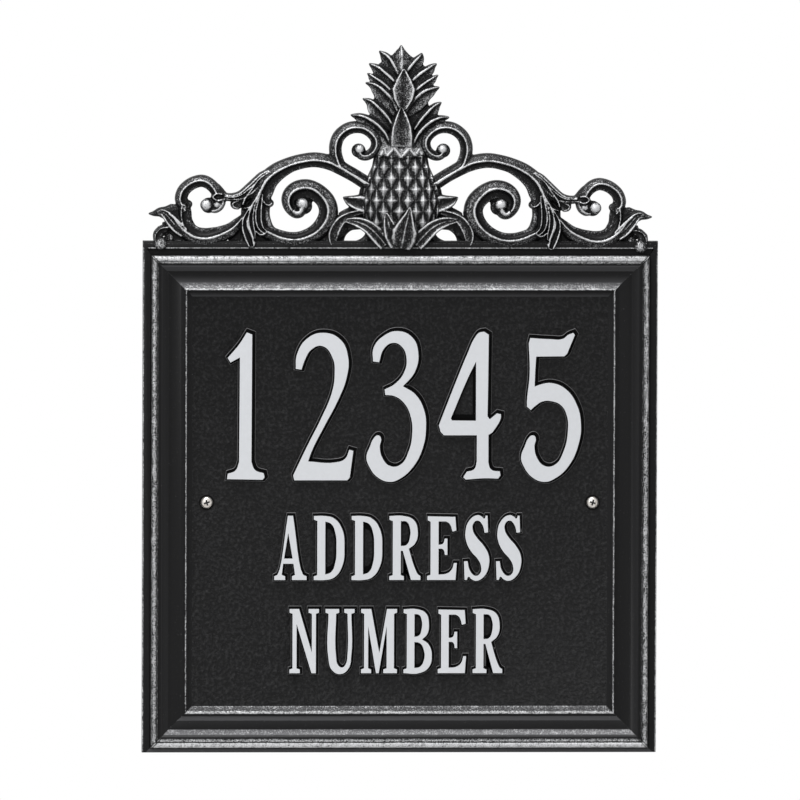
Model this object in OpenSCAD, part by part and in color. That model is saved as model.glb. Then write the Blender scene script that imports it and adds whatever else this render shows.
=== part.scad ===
// Wall address plaque: a moulded square frame round a sunk panel, under a pierced crest of
// scrolls and leaves with a pineapple, cast in one piece and hung on two screws.
// The origin is midway between the screws, on the wall. +Z is up and the front faces -Y.

/* [Frame] */
// Width of the frame
frame_w = 360; // [320:5:420]
// Height of the frame, with the flange that carries the crest
frame_h = 358; // [320:5:420]
// Height of the screw line above the foot of the frame
screw_line_h = 175; // [150:1:200]
// Width of the flat flange round the edge
flange_w = 5.5; // [4:0.5:8]
// Front of the flange above the wall
flange_h = 8.5; // [7:0.5:11]
// Chamfer along the outer edge of the flange
flange_chamfer = 0.8; // [0.4:0.1:1.5]
// Width of the sunk groove between the top flange and the bead
groove_w = 4.6; // [3:0.2:7]
// Depth of that groove below the flange
groove_deep = 3; // [1.5:0.5:4]
// How far the groove's upper corners run out past the bead, on each side
groove_splay = 3; // [1:0.5:5]

/* [Moulding] */
// Width of the outer bead
bead_w = 4.2; // [3:0.2:6]
// Top of the bead above the wall
bead_h = 13.5; // [12:0.5:18]
// Width of the sharp quirk between the flange and the bead
quirk_w = 0.5; // [0.3:0.1:1]
// Depth of the quirk below the flange
quirk_deep = 1.2; // [0.5:0.1:2]
// Width of the small step inside the bead
step_w = 0.9; // [0.5:0.1:1.5]
// Height of that step
step_rise = 0.6; // [0.3:0.1:1]
// Width of the flat fillet
fillet_w = 2.7; // [2:0.1:5]
// Front of the fillet above the wall
fillet_h = 12; // [10:0.5:14]
// Width of the slope inside the fillet
slope_w = 3.4; // [2:0.2:6]
// Front of the cove's outer edge above the wall
cove_h = 8.4; // [7.5:0.1:9.5]
// Width of the cove
cove_w = 12.2; // [9:0.2:16]
// Radius of the cove
cove_r = 13; // [10:0.5:20]
// Width of the round inner ridge
ridge_w = 1.4; // [1:0.1:2.5]
// Top of the inner ridge above the wall
ridge_h = 11; // [10:0.25:13]
// Width of the chamfer that drops to the panel
chamfer_w = 3.9; // [2:0.1:6]
// Height of the step at the top of the chamfer
chamfer_step = 1.1; // [0.5:0.1:2]

/* [Panel and back] */
// Thickness of the plate that the flange and the moulding stand on
plate_h = 5; // [4.5:0.25:5.5]
// Front of the sunk panel above the wall
panel_h = 6.5; // [6:0.25:8]
// Width of the rim that touches the wall
rim_w = 5; // [4:0.5:8]
// Depth of the hollow behind the panel
panel_hollow = 2.5; // [1.5:0.25:3]
// Depth of the hollow behind the moulding
moulding_hollow = 3.8; // [2:0.2:4]
// Corner radius of the hollows
hollow_r = 6; // [3:0.5:12]

/* [Screws] */
// Distance of each screw from the side of the frame
screw_inset = 45; // [40:1:70]
// Diameter of the screw's shank, a number 8
shank_d = 4.2; // [3.5:0.1:5]
// Diameter of its plain neck, inside the plaque
neck_d = 3.8; // [3:0.1:4.6]
// Length of the screw under its head
screw_l = 38; // [30:1:50]
// Length of the screw's point
point_l = 5; // [3:0.5:8]
// Diameter at the end of the point
tip_d = 0.4; // [0.2:0.1:1]
// Diameter of the screw's head
head_d = 8.3; // [7.5:0.1:9.5]
// Height of the screw's head
head_h = 3; // [2.4:0.1:3.6]
// Height of the straight edge of the head
head_edge = 0.9; // [0.5:0.1:1.2]
// Diameter across the cross recess
recess_d = 4.4; // [3.5:0.1:5]
// Width of each arm of the cross recess
recess_w = 1.1; // [0.8:0.1:1.4]
// Depth of the cross recess
recess_deep = 1.9; // [1:0.1:2.2]
// Gap all round the shank in its hole
shank_gap = 0.4; // [0.2:0.1:0.8]
// Gap all round the head in its spot face
head_gap = 1.3; // [0.8:0.1:2]
// Depth of the spot face
spot_deep = 0.8; // [0.4:0.1:1.5]
// Diameter of the boss behind each hole
boss_d = 17; // [14:0.5:24]

/* [Crest] */
// How far the crest's leaf tips stop short of the sides of the frame
crest_inset = 4; // [0:0.5:15]
// Height of the crest above the frame
crest_h = 137; // [110:1:170]
// How far the crest's foot laps down over the flange
crest_lap = 4.5; // [2:0.5:5]
// Back of the crest above the wall
crest_back = 1; // [0.5:0.1:2]
// Side edges of the scrolls above the wall
scroll_edge = 5; // [4:0.5:8]
// Ridges of the scrolls above the wall
scroll_ridge = 11.5; // [9:0.5:15]
// Ridges of the leaves above the wall
leaf_ridge = 13; // [10:0.5:16]
// Front of the pineapple above the wall
fruit_front = 21; // [15:0.5:26]

/* [Pineapple] */
// Half width of the fruit
fruit_r = 25.5; // [22:0.5:32]
// Foot of the fruit below the top of the frame
fruit_drop = 3; // [2:0.5:4]
// Height of the fruit
fruit_h = 73; // [60:1:84]
// Rows of scales
scale_rows = 6; // [5:1:8]
// Columns of scales across the fruit's front
scale_cols = 7; // [5:1:9]
// How far each scale stands out
scale_rise = 2.4; // [1:0.2:4]

/* [Hidden] */
$fn = 48;

frame_foot = -screw_line_h;
frame_top = frame_foot + frame_h;
frame_mid = frame_foot + frame_h / 2;
moulding_w = bead_w + quirk_w + step_w + fillet_w + slope_w + cove_w + ridge_w + chamfer_w;
ring_w = frame_w - 2 * flange_w;
ring_h = frame_h - 2 * flange_w - groove_w;
ring_mid = frame_foot + flange_w + ring_h / 2;
panel_w = ring_w - 2 * moulding_w;
panel_tall = ring_h - 2 * moulding_w;
screw_span = frame_w - 2 * screw_inset;
seat_h = panel_h - spot_deep;
hole_d = shank_d + 2 * shank_gap;
spot_d = head_d + 2 * head_gap;
crest_w = frame_w - 2 * crest_inset;
// Width and height of the drawing that the crest's points are taken on, and how far it is
// stretched to reach the crest's own size
drawn_w = 352;
drawn_h = 137;
stretch = [crest_w / drawn_w, crest_h / drawn_h];
// Overlap that makes cuts and joined solids run through each other
through = 1;
// Width of a leaf where it narrows to its foot or its tip, as a share of its widest
narrow = 0.7;
// Half width of a leaf's blunt tip
tip_half = 0.3;
// Sides of the round bosses on the crest
knob_sides = 14;
// How round the fruit's front is: 1 is an ellipse, and less is fuller
fruit_fullness = 0.8;

black = [0.13, 0.13, 0.13];
steel = [0.75, 0.74, 0.72];

// Centre of the circle of radius r that runs from a to b, on the left of the way
function arc_centre(a, b, r) =
    let (half = (b - a) / 2, across = [-half.y, half.x] / norm(half))
    a + half + across * sqrt(r * r - norm(half) * norm(half));

// Value at t, from 0 to 1, along a list of evenly spaced values
function along(values, t) =
    lookup(t * (len(values) - 1), [for (i = [0:len(values) - 1]) [i, values[i]]]);

// Point at t between p1 and p2 on a smooth curve through four points
function between(p0, p1, p2, p3, t) =
    (2 * p1 + (p2 - p0) * t + (2 * p0 - 5 * p1 + 4 * p2 - p3) * t * t
    + (3 * p1 - p0 - 3 * p2 + p3) * t * t * t) / 2;

// Smooth curve through the points, with n pieces between each pair
function curve(pts, n) =
    let (last = len(pts) - 1)
    [for (i = [0:last], k = [0:(i < last ? n - 1 : 0)])
        between(pts[max(i - 1, 0)], pts[i], pts[min(i + 1, last)], pts[min(i + 2, last)], k / n)];

// Direction of a path at its point i
function heading(path, i) =
    let (d = path[min(i + 1, len(path) - 1)] - path[max(i - 1, 0)])
    d / norm(d);

// Rectangle with round corners
module round_rect(w, h, r) {
    square([w - 2 * r, h], center = true);
    square([w, h - 2 * r], center = true);
    for (x = [-1, 1], y = [-1, 1])
        translate([x * (w / 2 - r), y * (h / 2 - r)]) circle(r);
}

// Carries children drawn in plan, as width and height, onto the front: from back to front
module raised(back, front) {
    translate([0, -back, 0]) rotate([90, 0, 0]) linear_extrude(front - back) children();
}

// Section of the moulding: across it from the quirk inwards, and out from the wall
module moulding_section() {
    bead_in = quirk_w + bead_w;
    fillet_in = bead_in + step_w + fillet_w;
    cove_out = fillet_in + slope_w;
    cove_in = cove_out + cove_w;
    ridge_side = ridge_h - ridge_w / 2;
    difference() {
        union() {
            polygon([
                [0, 0],
                [0, flange_h - quirk_deep],
                [quirk_w, flange_h - quirk_deep],
                [quirk_w, bead_h - bead_w / 2],
                [bead_in, bead_h - bead_w / 2],
                [bead_in, fillet_h + step_rise],
                [bead_in + step_w, fillet_h + step_rise],
                [bead_in + step_w, fillet_h],
                [fillet_in, fillet_h],
                [cove_out, cove_h],
                [cove_in, ridge_side],
                [cove_in + ridge_w, ridge_side],
                [cove_in + ridge_w, ridge_side - chamfer_step],
                [moulding_w, panel_h],
                [moulding_w, 0],
            ]);
            translate([quirk_w + bead_w / 2, bead_h - bead_w / 2]) circle(bead_w / 2);
            translate([cove_in + ridge_w / 2, ridge_side]) circle(ridge_w / 2);
        }
        intersection() {
            translate(arc_centre([cove_out, cove_h], [cove_in, ridge_side], cove_r)) circle(cove_r, $fn = 96);
            translate([cove_out, 0]) square([cove_w, bead_h]);
        }
    }
}

// One mitred side of the moulding, on the left of the ring's middle
module moulding_side(reach, length) {
    intersection() {
        translate([-reach, 0, 0]) linear_extrude(length, center = true) mirror([0, 1]) moulding_section();
        raised(-through, bead_h + through) polygon([
            [-reach, -length / 2],
            [-reach, length / 2],
            [moulding_w - reach, length / 2 - moulding_w],
            [moulding_w - reach, moulding_w - length / 2],
        ]);
    }
}

module moulding() {
    translate([0, 0, ring_mid]) {
        for (turn = [0, 180]) rotate([0, turn, 0]) moulding_side(ring_w / 2, ring_h);
        for (turn = [90, 270]) rotate([0, turn, 0]) moulding_side(ring_h / 2, ring_w);
    }
}

// Flange plate with a chamfered outer edge, and the groove along its top
module flange() {
    side_h = flange_h - flange_chamfer;
    groove_top = frame_top - flange_w;
    groove_foot = groove_top - groove_w;
    difference() {
        union() {
            translate([0, 0, frame_mid]) raised(0, side_h) square([frame_w, frame_h], center = true);
            translate([0, 0, frame_mid]) intersection() {
                edge_section(frame_w / 2, frame_h);
                rotate([0, 90, 0]) edge_section(frame_h / 2, frame_w);
            }
        }
        translate([0, 0, ring_mid]) raised(-through, bead_h) square([ring_w, ring_h], center = true);
        raised(flange_h - groove_deep, bead_h) polygon([
            [ring_w / 2, groove_foot],
            [ring_w / 2 + groove_splay, groove_top],
            [-ring_w / 2 - groove_splay, groove_top],
            [-ring_w / 2, groove_foot],
        ]);
    }
}

// Plate whose two long edges are chamfered at the front
module edge_section(reach, length) {
    linear_extrude(length, center = true) polygon([
        [-reach, 0],
        [-reach, flange_chamfer - flange_h],
        [flange_chamfer - reach, -flange_h],
        [reach - flange_chamfer, -flange_h],
        [reach, flange_chamfer - flange_h],
        [reach, 0],
    ]);
}

// Sunk panel, and the plate behind the flange and the moulding
module panel() {
    translate([0, 0, ring_mid])
        raised(0, panel_h) square([panel_w + 2 * through, panel_tall + 2 * through], center = true);
    translate([0, 0, frame_mid])
        raised(0, plate_h) square([frame_w - 2 * through, frame_h - 2 * through], center = true);
}

// Hollows in the back, inside the rim that touches the wall
module back_hollows() {
    hollow_w = frame_w - 2 * rim_w;
    hollow_tall = frame_h - 2 * rim_w;
    translate([0, 0, frame_mid]) raised(-through, panel_hollow) round_rect(hollow_w, hollow_tall, hollow_r);
    translate([0, 0, frame_mid]) raised(panel_hollow - through, moulding_hollow) difference() {
        round_rect(hollow_w, hollow_tall, hollow_r);
        translate([0, ring_mid - frame_mid]) round_rect(panel_w, panel_tall, hollow_r);
    }
}

module at_screws() {
    for (side = [-1, 1]) translate([side * screw_span / 2, 0, 0]) children();
}

// Sections of a band: places across it as a share of its width, and the share of the rise there
ridged = [[-1, 0], [0, 1], [1, 0]];
fluted = [[-1, 0.1], [-0.7, 1], [-0.35, 0.3], [0, 1], [0.35, 0.3], [0.7, 1], [1, 0.1]];
leafy = [[-1, 0.9], [-0.5, 0.8], [0, 1], [0.5, 0.8], [1, 0.9]];

// A band along a path in plan, with flat back and side edges, rising from its edges to ridges.
// left and right are its widths on either side of the path, and rise its ridge above the edges:
// each is a list of values spaced evenly along it.
module band(path, left, right, rise, across = ridged) {
    last = len(path) - 1;
    rings = [for (i = [0:last])
        let (
            t = i / last,
            d = heading(path, i),
            side = [-d.y, d.x],
            top = [for (a = across)
                let (p = path[i] - side * a[0] * along(a[0] < 0 ? left : right, t))
                [p.x, -scroll_edge - a[1] * along(rise, t), p.y]],
            first = top[0],
            final = top[len(top) - 1]
        )
        concat([[first.x, -crest_back, first.z]], top, [[final.x, -crest_back, final.z]])];
    n = len(rings[0]);
    polyhedron(
        points = [for (ring = rings) each ring],
        faces = concat(
            [[for (k = [0:n - 1]) k]],
            [for (i = [0:last - 1], k = [0:n - 1])
                let (a = i * n + k, b = i * n + (k + 1) % n)
                [a, a + n, b + n, b]],
            [[for (k = [n - 1:-1:0]) last * n + k]]
        )
    );
}

// Round boss on the crest: its middle, its radius and its front above the wall
module knob(at, r, front) {
    translate([at.x, r - front, at.y]) sphere(r, $fn = knob_sides);
}

// Scrolls and leaves of one half of the crest. The points are out from the middle and up from the
// frame, on the drawing.
module half_crest() {
    lift = scroll_ridge - scroll_edge;
    leaf_lift = leaf_ridge - scroll_edge;
    bends = 3;

    // Small scroll beside the fruit
    band(curve([[22, 39.5], [31, 44.7], [40, 50], [45, 58], [45.5, 66], [41.5, 75], [32, 79.3],
                [23, 77], [17.5, 69.5], [18.8, 63], [24, 59.8], [28, 60.4]], bends),
        [3, 4, 4.2, 4.2, 3.8, 3.6], [5, 4.8, 4.8, 4.4, 4.2, 3], [lift]);
    knob([28.5, 63.5], 4.6, scroll_ridge);

    // Long scroll from the fruit, over the volute and down behind the acanthus
    band(curve([[38, 49.5], [46, 54], [57, 56.5], [68, 56], [80, 52.5], [90, 46.5],
                [96, 39], [98.5, 30], [97.5, 20], [94, 11], [88, 4.5]], bends),
        [4.5, 4.6, 4.6, 4.5, 4.5, 8, 8], [4.5, 4.1, 4.6, 6.5, 9.5, 6, 5], [lift]);
    // Arm out to the clasp, and the bud that hangs from it
    band([[98, 40], [104, 34], [110, 31], [118, 30.5], [128, 31.5]],
        [5, 5, 3.2, 3, 2.5], [6, 7, 3.8, 2.6, 2.5], [lift]);
    band([[128, 34], [124.5, 28], [129, 23], [136, 24]], [3, 2, 2], [3, 4.5, 4], [lift]);
    band([[124, 27], [131.5, 24.7], [139, 25]], [3, 5.4, 3.4], [3, 5.4, 3.4], [lift / 3]);
    knob([136, 25.3], 4.6, scroll_ridge);

    // Large volute with the bulb in its eye
    band(curve([[89, 5], [76, 0.5], [67, 1.5], [59, 5.5], [53, 12], [51, 20],
                [52.5, 29], [58, 35.5], [67, 38], [75, 35], [78.7, 28], [76, 21.5], [71, 19.5]], bends),
        [6, 6, 5, 4.5, 4, 3], [6, 6, 6, 5.5, 5, 4, 3.2], [lift]);
    knob([67.5, 23.5], 5.2, scroll_ridge);

    // Outer scroll, below and above its notch
    band(curve([[110, 22], [114.5, 13], [121, 6.5], [129, 2.6], [138, 1.5], [147, 5], [153.5, 11],
                [156, 18], [153.5, 25]], bends),
        [6, 6.5, 6.5, 6, 5], [2, 5, 7, 7.5, 7], [lift]);
    band(curve([[151, 22], [154, 29.5], [152, 36], [147, 40.7], [140, 42.8], [133, 41],
                [129.5, 36.5], [127, 31]], bends),
        [6, 5.3, 4.8, 4], [3.2, 3.2, 3.2, 3, 5, 4], [lift]);

    // End leaf, and the berries under it
    band([[152, 8], [157, 13], [162, 18.5], [167, 21], [176, 18.8]],
        [6, 6, 3.5, 0.3], [5, 5, 4.5, 0.3], [lift, lift, lift, 3]);
    band([[150, 5], [156, 4], [163, 7], [166, 10]], [5, 6, 4, 1.5], [4], [2]);
    knob([167.8, 2.4], 5.2, scroll_ridge);

    // Acanthus leaf whose flutes fall over the flange
    band([[100, 42], [103, 35], [105.5, 26], [106, 17], [104.5, 8.5], [100.5, 0.5]],
        [1.5, 4, 6, 7, 6.5, 5.5], [1.5, 4, 5.5, 6, 6.5, 6.5], [leaf_lift], fluted);
    // Low webs that close the corners over the flange
    band([[112, -4], [112.5, 5], [111, 16]], [4.5, 3, 1.5], [4, 5, 2], [1]);
    band([[66, -2], [80, -2.5], [98, -2]], [5, 5, 6], [2.2], [1]);
    band([[12, -1], [22, -2], [45, -2]], [6, 4, 3], [3], [1.5]);

    // Thin skin behind the leaves at the fruit's foot, round the small opening
    band([[18, 14], [26, 14.4], [34, 13], [40, 9], [44, 3], [45, -3]], [4, 4, 3], [5, 5.6, 5.6, 5, 4, 3], [1.5]);
    band([[14, 20], [24, 21], [34, 21], [43, 18.4]], [4, 4, 3, 1], [6, 5, 4, 3], [1]);
    // Curled leaf and long leaf, and the two-pointed bract above them
    band([[23, 19], [31, 21], [38.5, 18.5], [44.5, 13], [47, 5], [46.5, -4]],
        [6, 4, 2.6, 2.4, 2.2, 2], [6, 7, 7, 7, 7.5, 5], [leaf_lift]);
    band([[10, 0], [17, 5.5], [24, 11], [32, 14.6], [41.4, 13.5]],
        [4.5, 5, 4.5, 2.4, 0.3], [4, 5.5, 4.5, 2.4, 0.3], [leaf_lift + 4, leaf_lift + 3, leaf_lift, 6], leafy);
    band([[23, 24], [31, 25.8], [39.5, 28.2]], [5, 4, 0.3], [5, 4.5, 0.3], [leaf_lift, leaf_lift, 3]);
    band([[23, 25], [28.5, 29.5], [32.5, 34.5]], [4, 3, 0.3], [4, 3, 0.3], [leaf_lift, leaf_lift, 3]);

    // Side leaves of the crown: the path of each, from its foot to its tip, and its width
    crown = [
        [[[2, 114], [6, 123.5], [10, 129], [14.7, 132.6]], 5],
        [[[4, 107], [10.5, 115.7], [17, 121.5], [23.8, 124.2]], 5],
        [[[6, 100], [12, 107.5], [18.5, 113.5], [25, 116.4]], 5],
        [[[3.5, 91], [9.5, 101.5], [17, 107], [26, 109.2]], 8],
        [[[7, 80], [12.5, 88.5], [19.5, 94.5], [27.6, 98.4]], 6],
        [[[8.5, 69], [14.5, 80], [23, 86], [34.4, 87.6]], 6],
    ];
    for (leaf = crown)
        band(leaf[0], [2, 2.2, 2, tip_half], [leaf[1], leaf[1], leaf[1] * narrow, tip_half],
            [leaf_lift, leaf_lift, 5, 1]);
}

// Middle leaves of the crown and the leaf at the fruit's foot
module middle_leaves() {
    middle_lift = leaf_ridge - scroll_edge;
    // Half widths of the skin behind the crown, evenly spaced from its foot to its top
    skin = [13, 19, 20.4, 20.5, 19, 18.8, 19.2, 17, 7.6];
    skin_foot = 62;
    skin_top = 130;
    last = len(skin) - 1;
    band([for (i = [0:last]) [0, skin_foot + (skin_top - skin_foot) * i / last]], skin, skin, [3]);
    for (leaf = [
        [[[0, 118], [0, 124], [0, 130], [0, 137]], 5, middle_lift - 2],
        [[[1.5, 93], [1.5, 103], [1.6, 112], [1.6, 121]], 8, middle_lift + 1],
        [[[0, 66], [0, 74], [0, 83], [0, 94]], 7.8, middle_lift + 4],
        [[[0, -4.3], [1.5, 6], [3.5, 15.5], [5.6, 25]], 9.6, fruit_front - scroll_edge + 1],
    ])
        let (half = [leaf[1] * narrow, leaf[1], leaf[1] * narrow, tip_half])
        band(leaf[0], half, half, [leaf[2]], leafy);
}

// Half widths of the fruit from its foot to its top, as shares of the widest
fruit_outline = [0.5, 0.84, 0.97, 1, 0.95, 0.83, 0.68, 0.45];

// Pineapple: a domed body whose surface rises to a point in the middle of each scale
module fruit() {
    rows = 2 * scale_rows;
    cols = 2 * scale_cols;
    stride = cols + 1;
    depth = fruit_front - scale_rise - crest_back;
    grid = [for (j = [0:rows], i = [0:cols])
        let (
            round = -90 + 180 * i / cols,
            inside = j > 0 && j < rows && i > 0 && i < cols,
            out = inside && (i + j) % 2 == 0 ? scale_rise : 0,
            share = along(fruit_outline, j / rows)
        )
        [
            (fruit_r + out) * share * sin(round) / stretch.x,
            -crest_back - (depth + out) * pow(share * max(cos(round), 0), fruit_fullness),
            (fruit_h * j / rows - fruit_drop) / stretch.y
        ]];
    polyhedron(
        points = grid,
        faces = concat(
            [for (j = [0:rows - 1], i = [0:cols - 1])
                let (
                    a = j * stride + i, b = a + 1, c = a + stride, d = c + 1,
                    peak = (i + j) % 2 == 0
                )
                each peak ? [[a, c, b], [b, c, d]] : [[a, d, b], [a, c, d]]],
            [[for (i = [0:cols]) i]],
            [[for (i = [cols:-1:0]) rows * stride + i]],
            [concat([for (j = [0:rows]) j * stride + cols], [for (j = [rows:-1:0]) j * stride])]
        )
    );
}

// The whole crest, stretched to its own size, with what laps lower than stated cut off
module crest() {
    translate([0, 0, frame_top - crest_lap]) resize([crest_w, 0, crest_h + crest_lap]) intersection() {
        translate([0, 0, crest_lap / stretch.y]) {
            half_crest();
            mirror([1, 0, 0]) half_crest();
            middle_leaves();
            fruit();
        }
        raised(0, fruit_front + scale_rise) translate([-drawn_w / 2 - through, 0])
            square([drawn_w + 2 * through, 2 * drawn_h]);
    }
}

module plaque() {
    color(black) difference() {
        union() {
            difference() {
                union() {
                    flange();
                    moulding();
                    panel();
                }
                back_hollows();
            }
            at_screws() raised(0, panel_h) circle(d = boss_d);
            crest();
        }
        at_screws() raised(-through, panel_h) circle(d = hole_d);
        at_screws() raised(seat_h, panel_h + through) circle(d = spot_d);
    }
}

// Domed head, revolved about the screw's axis, with its seat at zero
module screw_head() {
    dome_h = head_h - head_edge;
    dome_r = (dome_h * dome_h + head_d * head_d / 4) / (2 * dome_h);
    difference() {
        union() {
            cylinder(h = head_edge, d = head_d);
            intersection() {
                translate([0, 0, head_h - dome_r]) sphere(dome_r);
                cylinder(h = head_h, d = head_d);
            }
        }
        for (turn = [0, 90]) rotate([0, 0, turn])
            translate([-recess_d / 2, -recess_w / 2, head_h - recess_deep]) cube([recess_d, recess_w, head_h]);
    }
}

module mounting_screws() {
    color(steel) at_screws() translate([0, -seat_h, 0]) rotate([90, 0, 0]) {
        screw_head();
        translate([0, 0, -seat_h]) cylinder(h = seat_h, d = neck_d);
        translate([0, 0, point_l - screw_l]) cylinder(h = screw_l - point_l - seat_h, d = shank_d);
        translate([0, 0, -screw_l]) cylinder(h = point_l, d1 = tip_d, d2 = shank_d);
    }
}

plaque();
mounting_screws();
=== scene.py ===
import math
import bmesh
import bpy
import numpy as np
from mathutils import Matrix, Quaternion, Vector


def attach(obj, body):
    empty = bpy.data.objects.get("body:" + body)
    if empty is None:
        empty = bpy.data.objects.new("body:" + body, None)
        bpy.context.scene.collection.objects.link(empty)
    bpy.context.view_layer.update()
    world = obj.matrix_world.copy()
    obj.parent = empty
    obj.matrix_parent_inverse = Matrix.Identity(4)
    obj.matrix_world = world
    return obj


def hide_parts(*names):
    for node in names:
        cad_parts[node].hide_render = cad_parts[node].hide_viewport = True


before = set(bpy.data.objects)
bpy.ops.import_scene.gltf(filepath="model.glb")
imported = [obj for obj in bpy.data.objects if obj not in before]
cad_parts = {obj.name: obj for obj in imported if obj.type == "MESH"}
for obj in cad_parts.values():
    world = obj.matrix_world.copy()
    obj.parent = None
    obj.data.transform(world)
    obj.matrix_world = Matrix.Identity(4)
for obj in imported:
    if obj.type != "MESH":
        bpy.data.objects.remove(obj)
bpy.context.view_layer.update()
mm = 0.001
print("frame loaded")


# Points on the front are (right, up) in millimetres, and heights are out from the wall
def place(point, height):
    return Vector((point[0] * mm, -height * mm, point[1] * mm))


def smoothPath(points, step):
    # Catmull-Rom curve through the points, with a point about every step
    pts = [Vector(p) for p in points]
    out = []
    for i in range(len(pts) - 1):
        p0, p1, p2, p3 = pts[max(i - 1, 0)], pts[i], pts[i + 1], pts[min(i + 2, len(pts) - 1)]
        pieces = max(1, round((p2 - p1).length / step))
        for k in range(pieces):
            t = k / pieces
            out.append((2 * p1 + (p2 - p0) * t + (2 * p0 - 5 * p1 + 4 * p2 - p3) * t * t
                        + (3 * p1 - p0 - 3 * p2 + p3) * t ** 3) / 2)
    out.append(pts[-1])
    return out


def along(values, t):
    # value at t, from 0 to 1, along evenly spaced values
    if not isinstance(values, (list, tuple)):
        return values
    return float(np.interp(t, np.linspace(0, 1, len(values)), values))


def tableValue(table, at):
    # value at a place, from rows of (place, value)
    return float(np.interp(at, [row[0] for row in table], [row[1] for row in table]))


def fuseInto(bm, other):
    mesh = bpy.data.meshes.new("loose")
    other.to_mesh(mesh)
    other.free()
    bm.from_mesh(mesh)
    bpy.data.meshes.remove(mesh)


def pushFace(bm, face, corners, first):
    # one step of an extrusion; only the first step leaves its face behind, as the closed end
    made = bmesh.ops.extrude_face_region(bm, geom=[face])["geom"]
    moved = [g for g in made if isinstance(g, bmesh.types.BMFace)][0]
    for v, q in zip(moved.verts, corners):
        v.co = q
    if not first:
        bmesh.ops.delete(bm, geom=[face], context="FACES_ONLY")
    return moved


bands = {"back": 1.0, "step": 0.9}  # depth of a band's back, and length of one step along it


def addBand(bm, path, left, right, rise, section, edge):
    # sweeps a section along a path by extruding its end face; widths and heights may change on the way
    # a section has rows of (across, height), from -1 on the left to 1 on the right, its ridge 1 high
    pts = smoothPath(path, bands["step"])
    last = len(pts) - 1
    stations = []
    for i, p in enumerate(pts):
        t = i / last
        d = (pts[min(i + 1, last)] - pts[max(i - 1, 0)]).normalized()
        side = Vector((-d.y, d.x))
        top = along(edge, t)
        row = []
        for a, h in section:
            width = along(left if a < 0 else right, t)
            row.append(place(p - side * a * width, top + h * along(rise, t)))
        first = p + side * along(left, t)
        final = p - side * along(right, t)
        stations.append([place(first, bands["back"])] + row + [place(final, bands["back"])])
    band = bmesh.new()
    face = band.faces.new([band.verts.new(q) for q in stations[0]])
    for i, row in enumerate(stations[1:]):
        face = pushFace(band, face, row, i == 0)
    bmesh.ops.recalc_face_normals(band, faces=band.faces)
    fuseInto(bm, band)


def addBall(bm, at, r, front, flat=1.0):
    ball = bmesh.new()
    bmesh.ops.create_icosphere(ball, subdivisions=4, radius=r * mm)
    bmesh.ops.scale(ball, verts=ball.verts, vec=(1, flat, 1))
    bmesh.ops.translate(ball, verts=ball.verts, vec=place(at, front - r * flat))
    fuseInto(bm, ball)


def moveBack(bm, depth):
    # the crest's pieces end at different depths, so that no two backs lie in one plane
    for v in bm.verts:
        if v.co.y > -(bands["back"] + 0.05) * mm:
            v.co.y = -depth * mm


def makePiece(name, bm, materials):
    mesh = bpy.data.meshes.new(name)
    bm.to_mesh(mesh)
    bm.free()
    obj = bpy.data.objects.new(name, mesh)
    bpy.context.scene.collection.objects.link(obj)
    for m in materials:
        mesh.materials.append(m)
    return obj


def applyModifiers(obj):
    graph = bpy.context.evaluated_depsgraph_get()
    mesh = bpy.data.meshes.new_from_object(obj.evaluated_get(graph))
    old = obj.data
    obj.modifiers.clear()
    obj.data = mesh
    bpy.data.meshes.remove(old)


def remeshPiece(obj, voxel, rounds):
    # fuses the overlapping shapes of a piece into one skin and softens it, as a casting
    m = obj.modifiers.new("fuse", "REMESH")
    m.mode = "VOXEL"
    m.voxel_size = voxel * mm
    m.use_smooth_shade = True
    s = obj.modifiers.new("soften", "SMOOTH")
    s.factor = 0.5
    s.iterations = rounds
    applyModifiers(obj)


def neighbourMean(values, pairs, count):
    total = np.zeros_like(values)
    for k in range(values.shape[1]):
        total[:, k] += np.bincount(pairs[:, 0], values[pairs[:, 1], k], count)
        total[:, k] += np.bincount(pairs[:, 1], values[pairs[:, 0], k], count)
    degree = np.bincount(pairs.ravel(), minlength=count)
    return total / np.maximum(degree, 1)[:, None]


# How the silver is rubbed on: shares that are left on faces that look sideways and on what lies low; the loss
# on faces that look sideways also paints shade round the rims of balls and rounded ridges
rubbingAndRimShade = {"near": 9, "far": 40, "farShare": 0.35, "sideways": 0.34, "facingPower": 1.35, "low": 0.6}


def paintRelief(obj, gain, low, high, near=rubbingAndRimShade["near"], far=rubbingAndRimShade["far"], base=0.5):
    # stores how proud each point stands of its surroundings, for the rubbed silver; the surroundings are
    # averaged over near and far rounds of neighbours, and points below the height high get less of it
    mesh = obj.data
    count = len(mesh.vertices)
    pairs = np.empty(len(mesh.edges) * 2, np.int32)
    mesh.edges.foreach_get("vertices", pairs)
    pairs = pairs.reshape(-1, 2)
    points = np.empty(count * 3, np.float32)
    mesh.vertices.foreach_get("co", points)
    points = points.reshape(-1, 3).astype(float)
    normals = np.empty(count * 3, np.float32)
    mesh.vertex_normals.foreach_get("vector", normals)
    normals = normals.reshape(-1, 3)
    smooth = points.copy()
    for k in range(far):
        smooth = neighbourMean(smooth, pairs, count)
        if k + 1 == near:
            nearRise = ((points - smooth) * normals).sum(1) / mm
    farRise = ((points - smooth) * normals).sum(1) / mm
    # faces turned from the front keep less silver: partly rubbing, partly painted shade at the rims of
    # rounded parts
    facing = np.clip(-normals[:, 1], 0, 1) ** rubbingAndRimShade["facingPower"]
    proud = np.clip((-points[:, 1] / mm - low) / (high - low), 0, 1)
    relief = np.clip(base + gain * nearRise + rubbingAndRimShade["farShare"] * gain * farRise, 0, 1)
    relief *= rubbingAndRimShade["sideways"] + (1 - rubbingAndRimShade["sideways"]) * facing
    relief *= rubbingAndRimShade["low"] + (1 - rubbingAndRimShade["low"]) * proud
    layer = mesh.attributes.new("relief", "FLOAT", "POINT")
    layer.data.foreach_set("value", relief.astype(np.float32))


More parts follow.
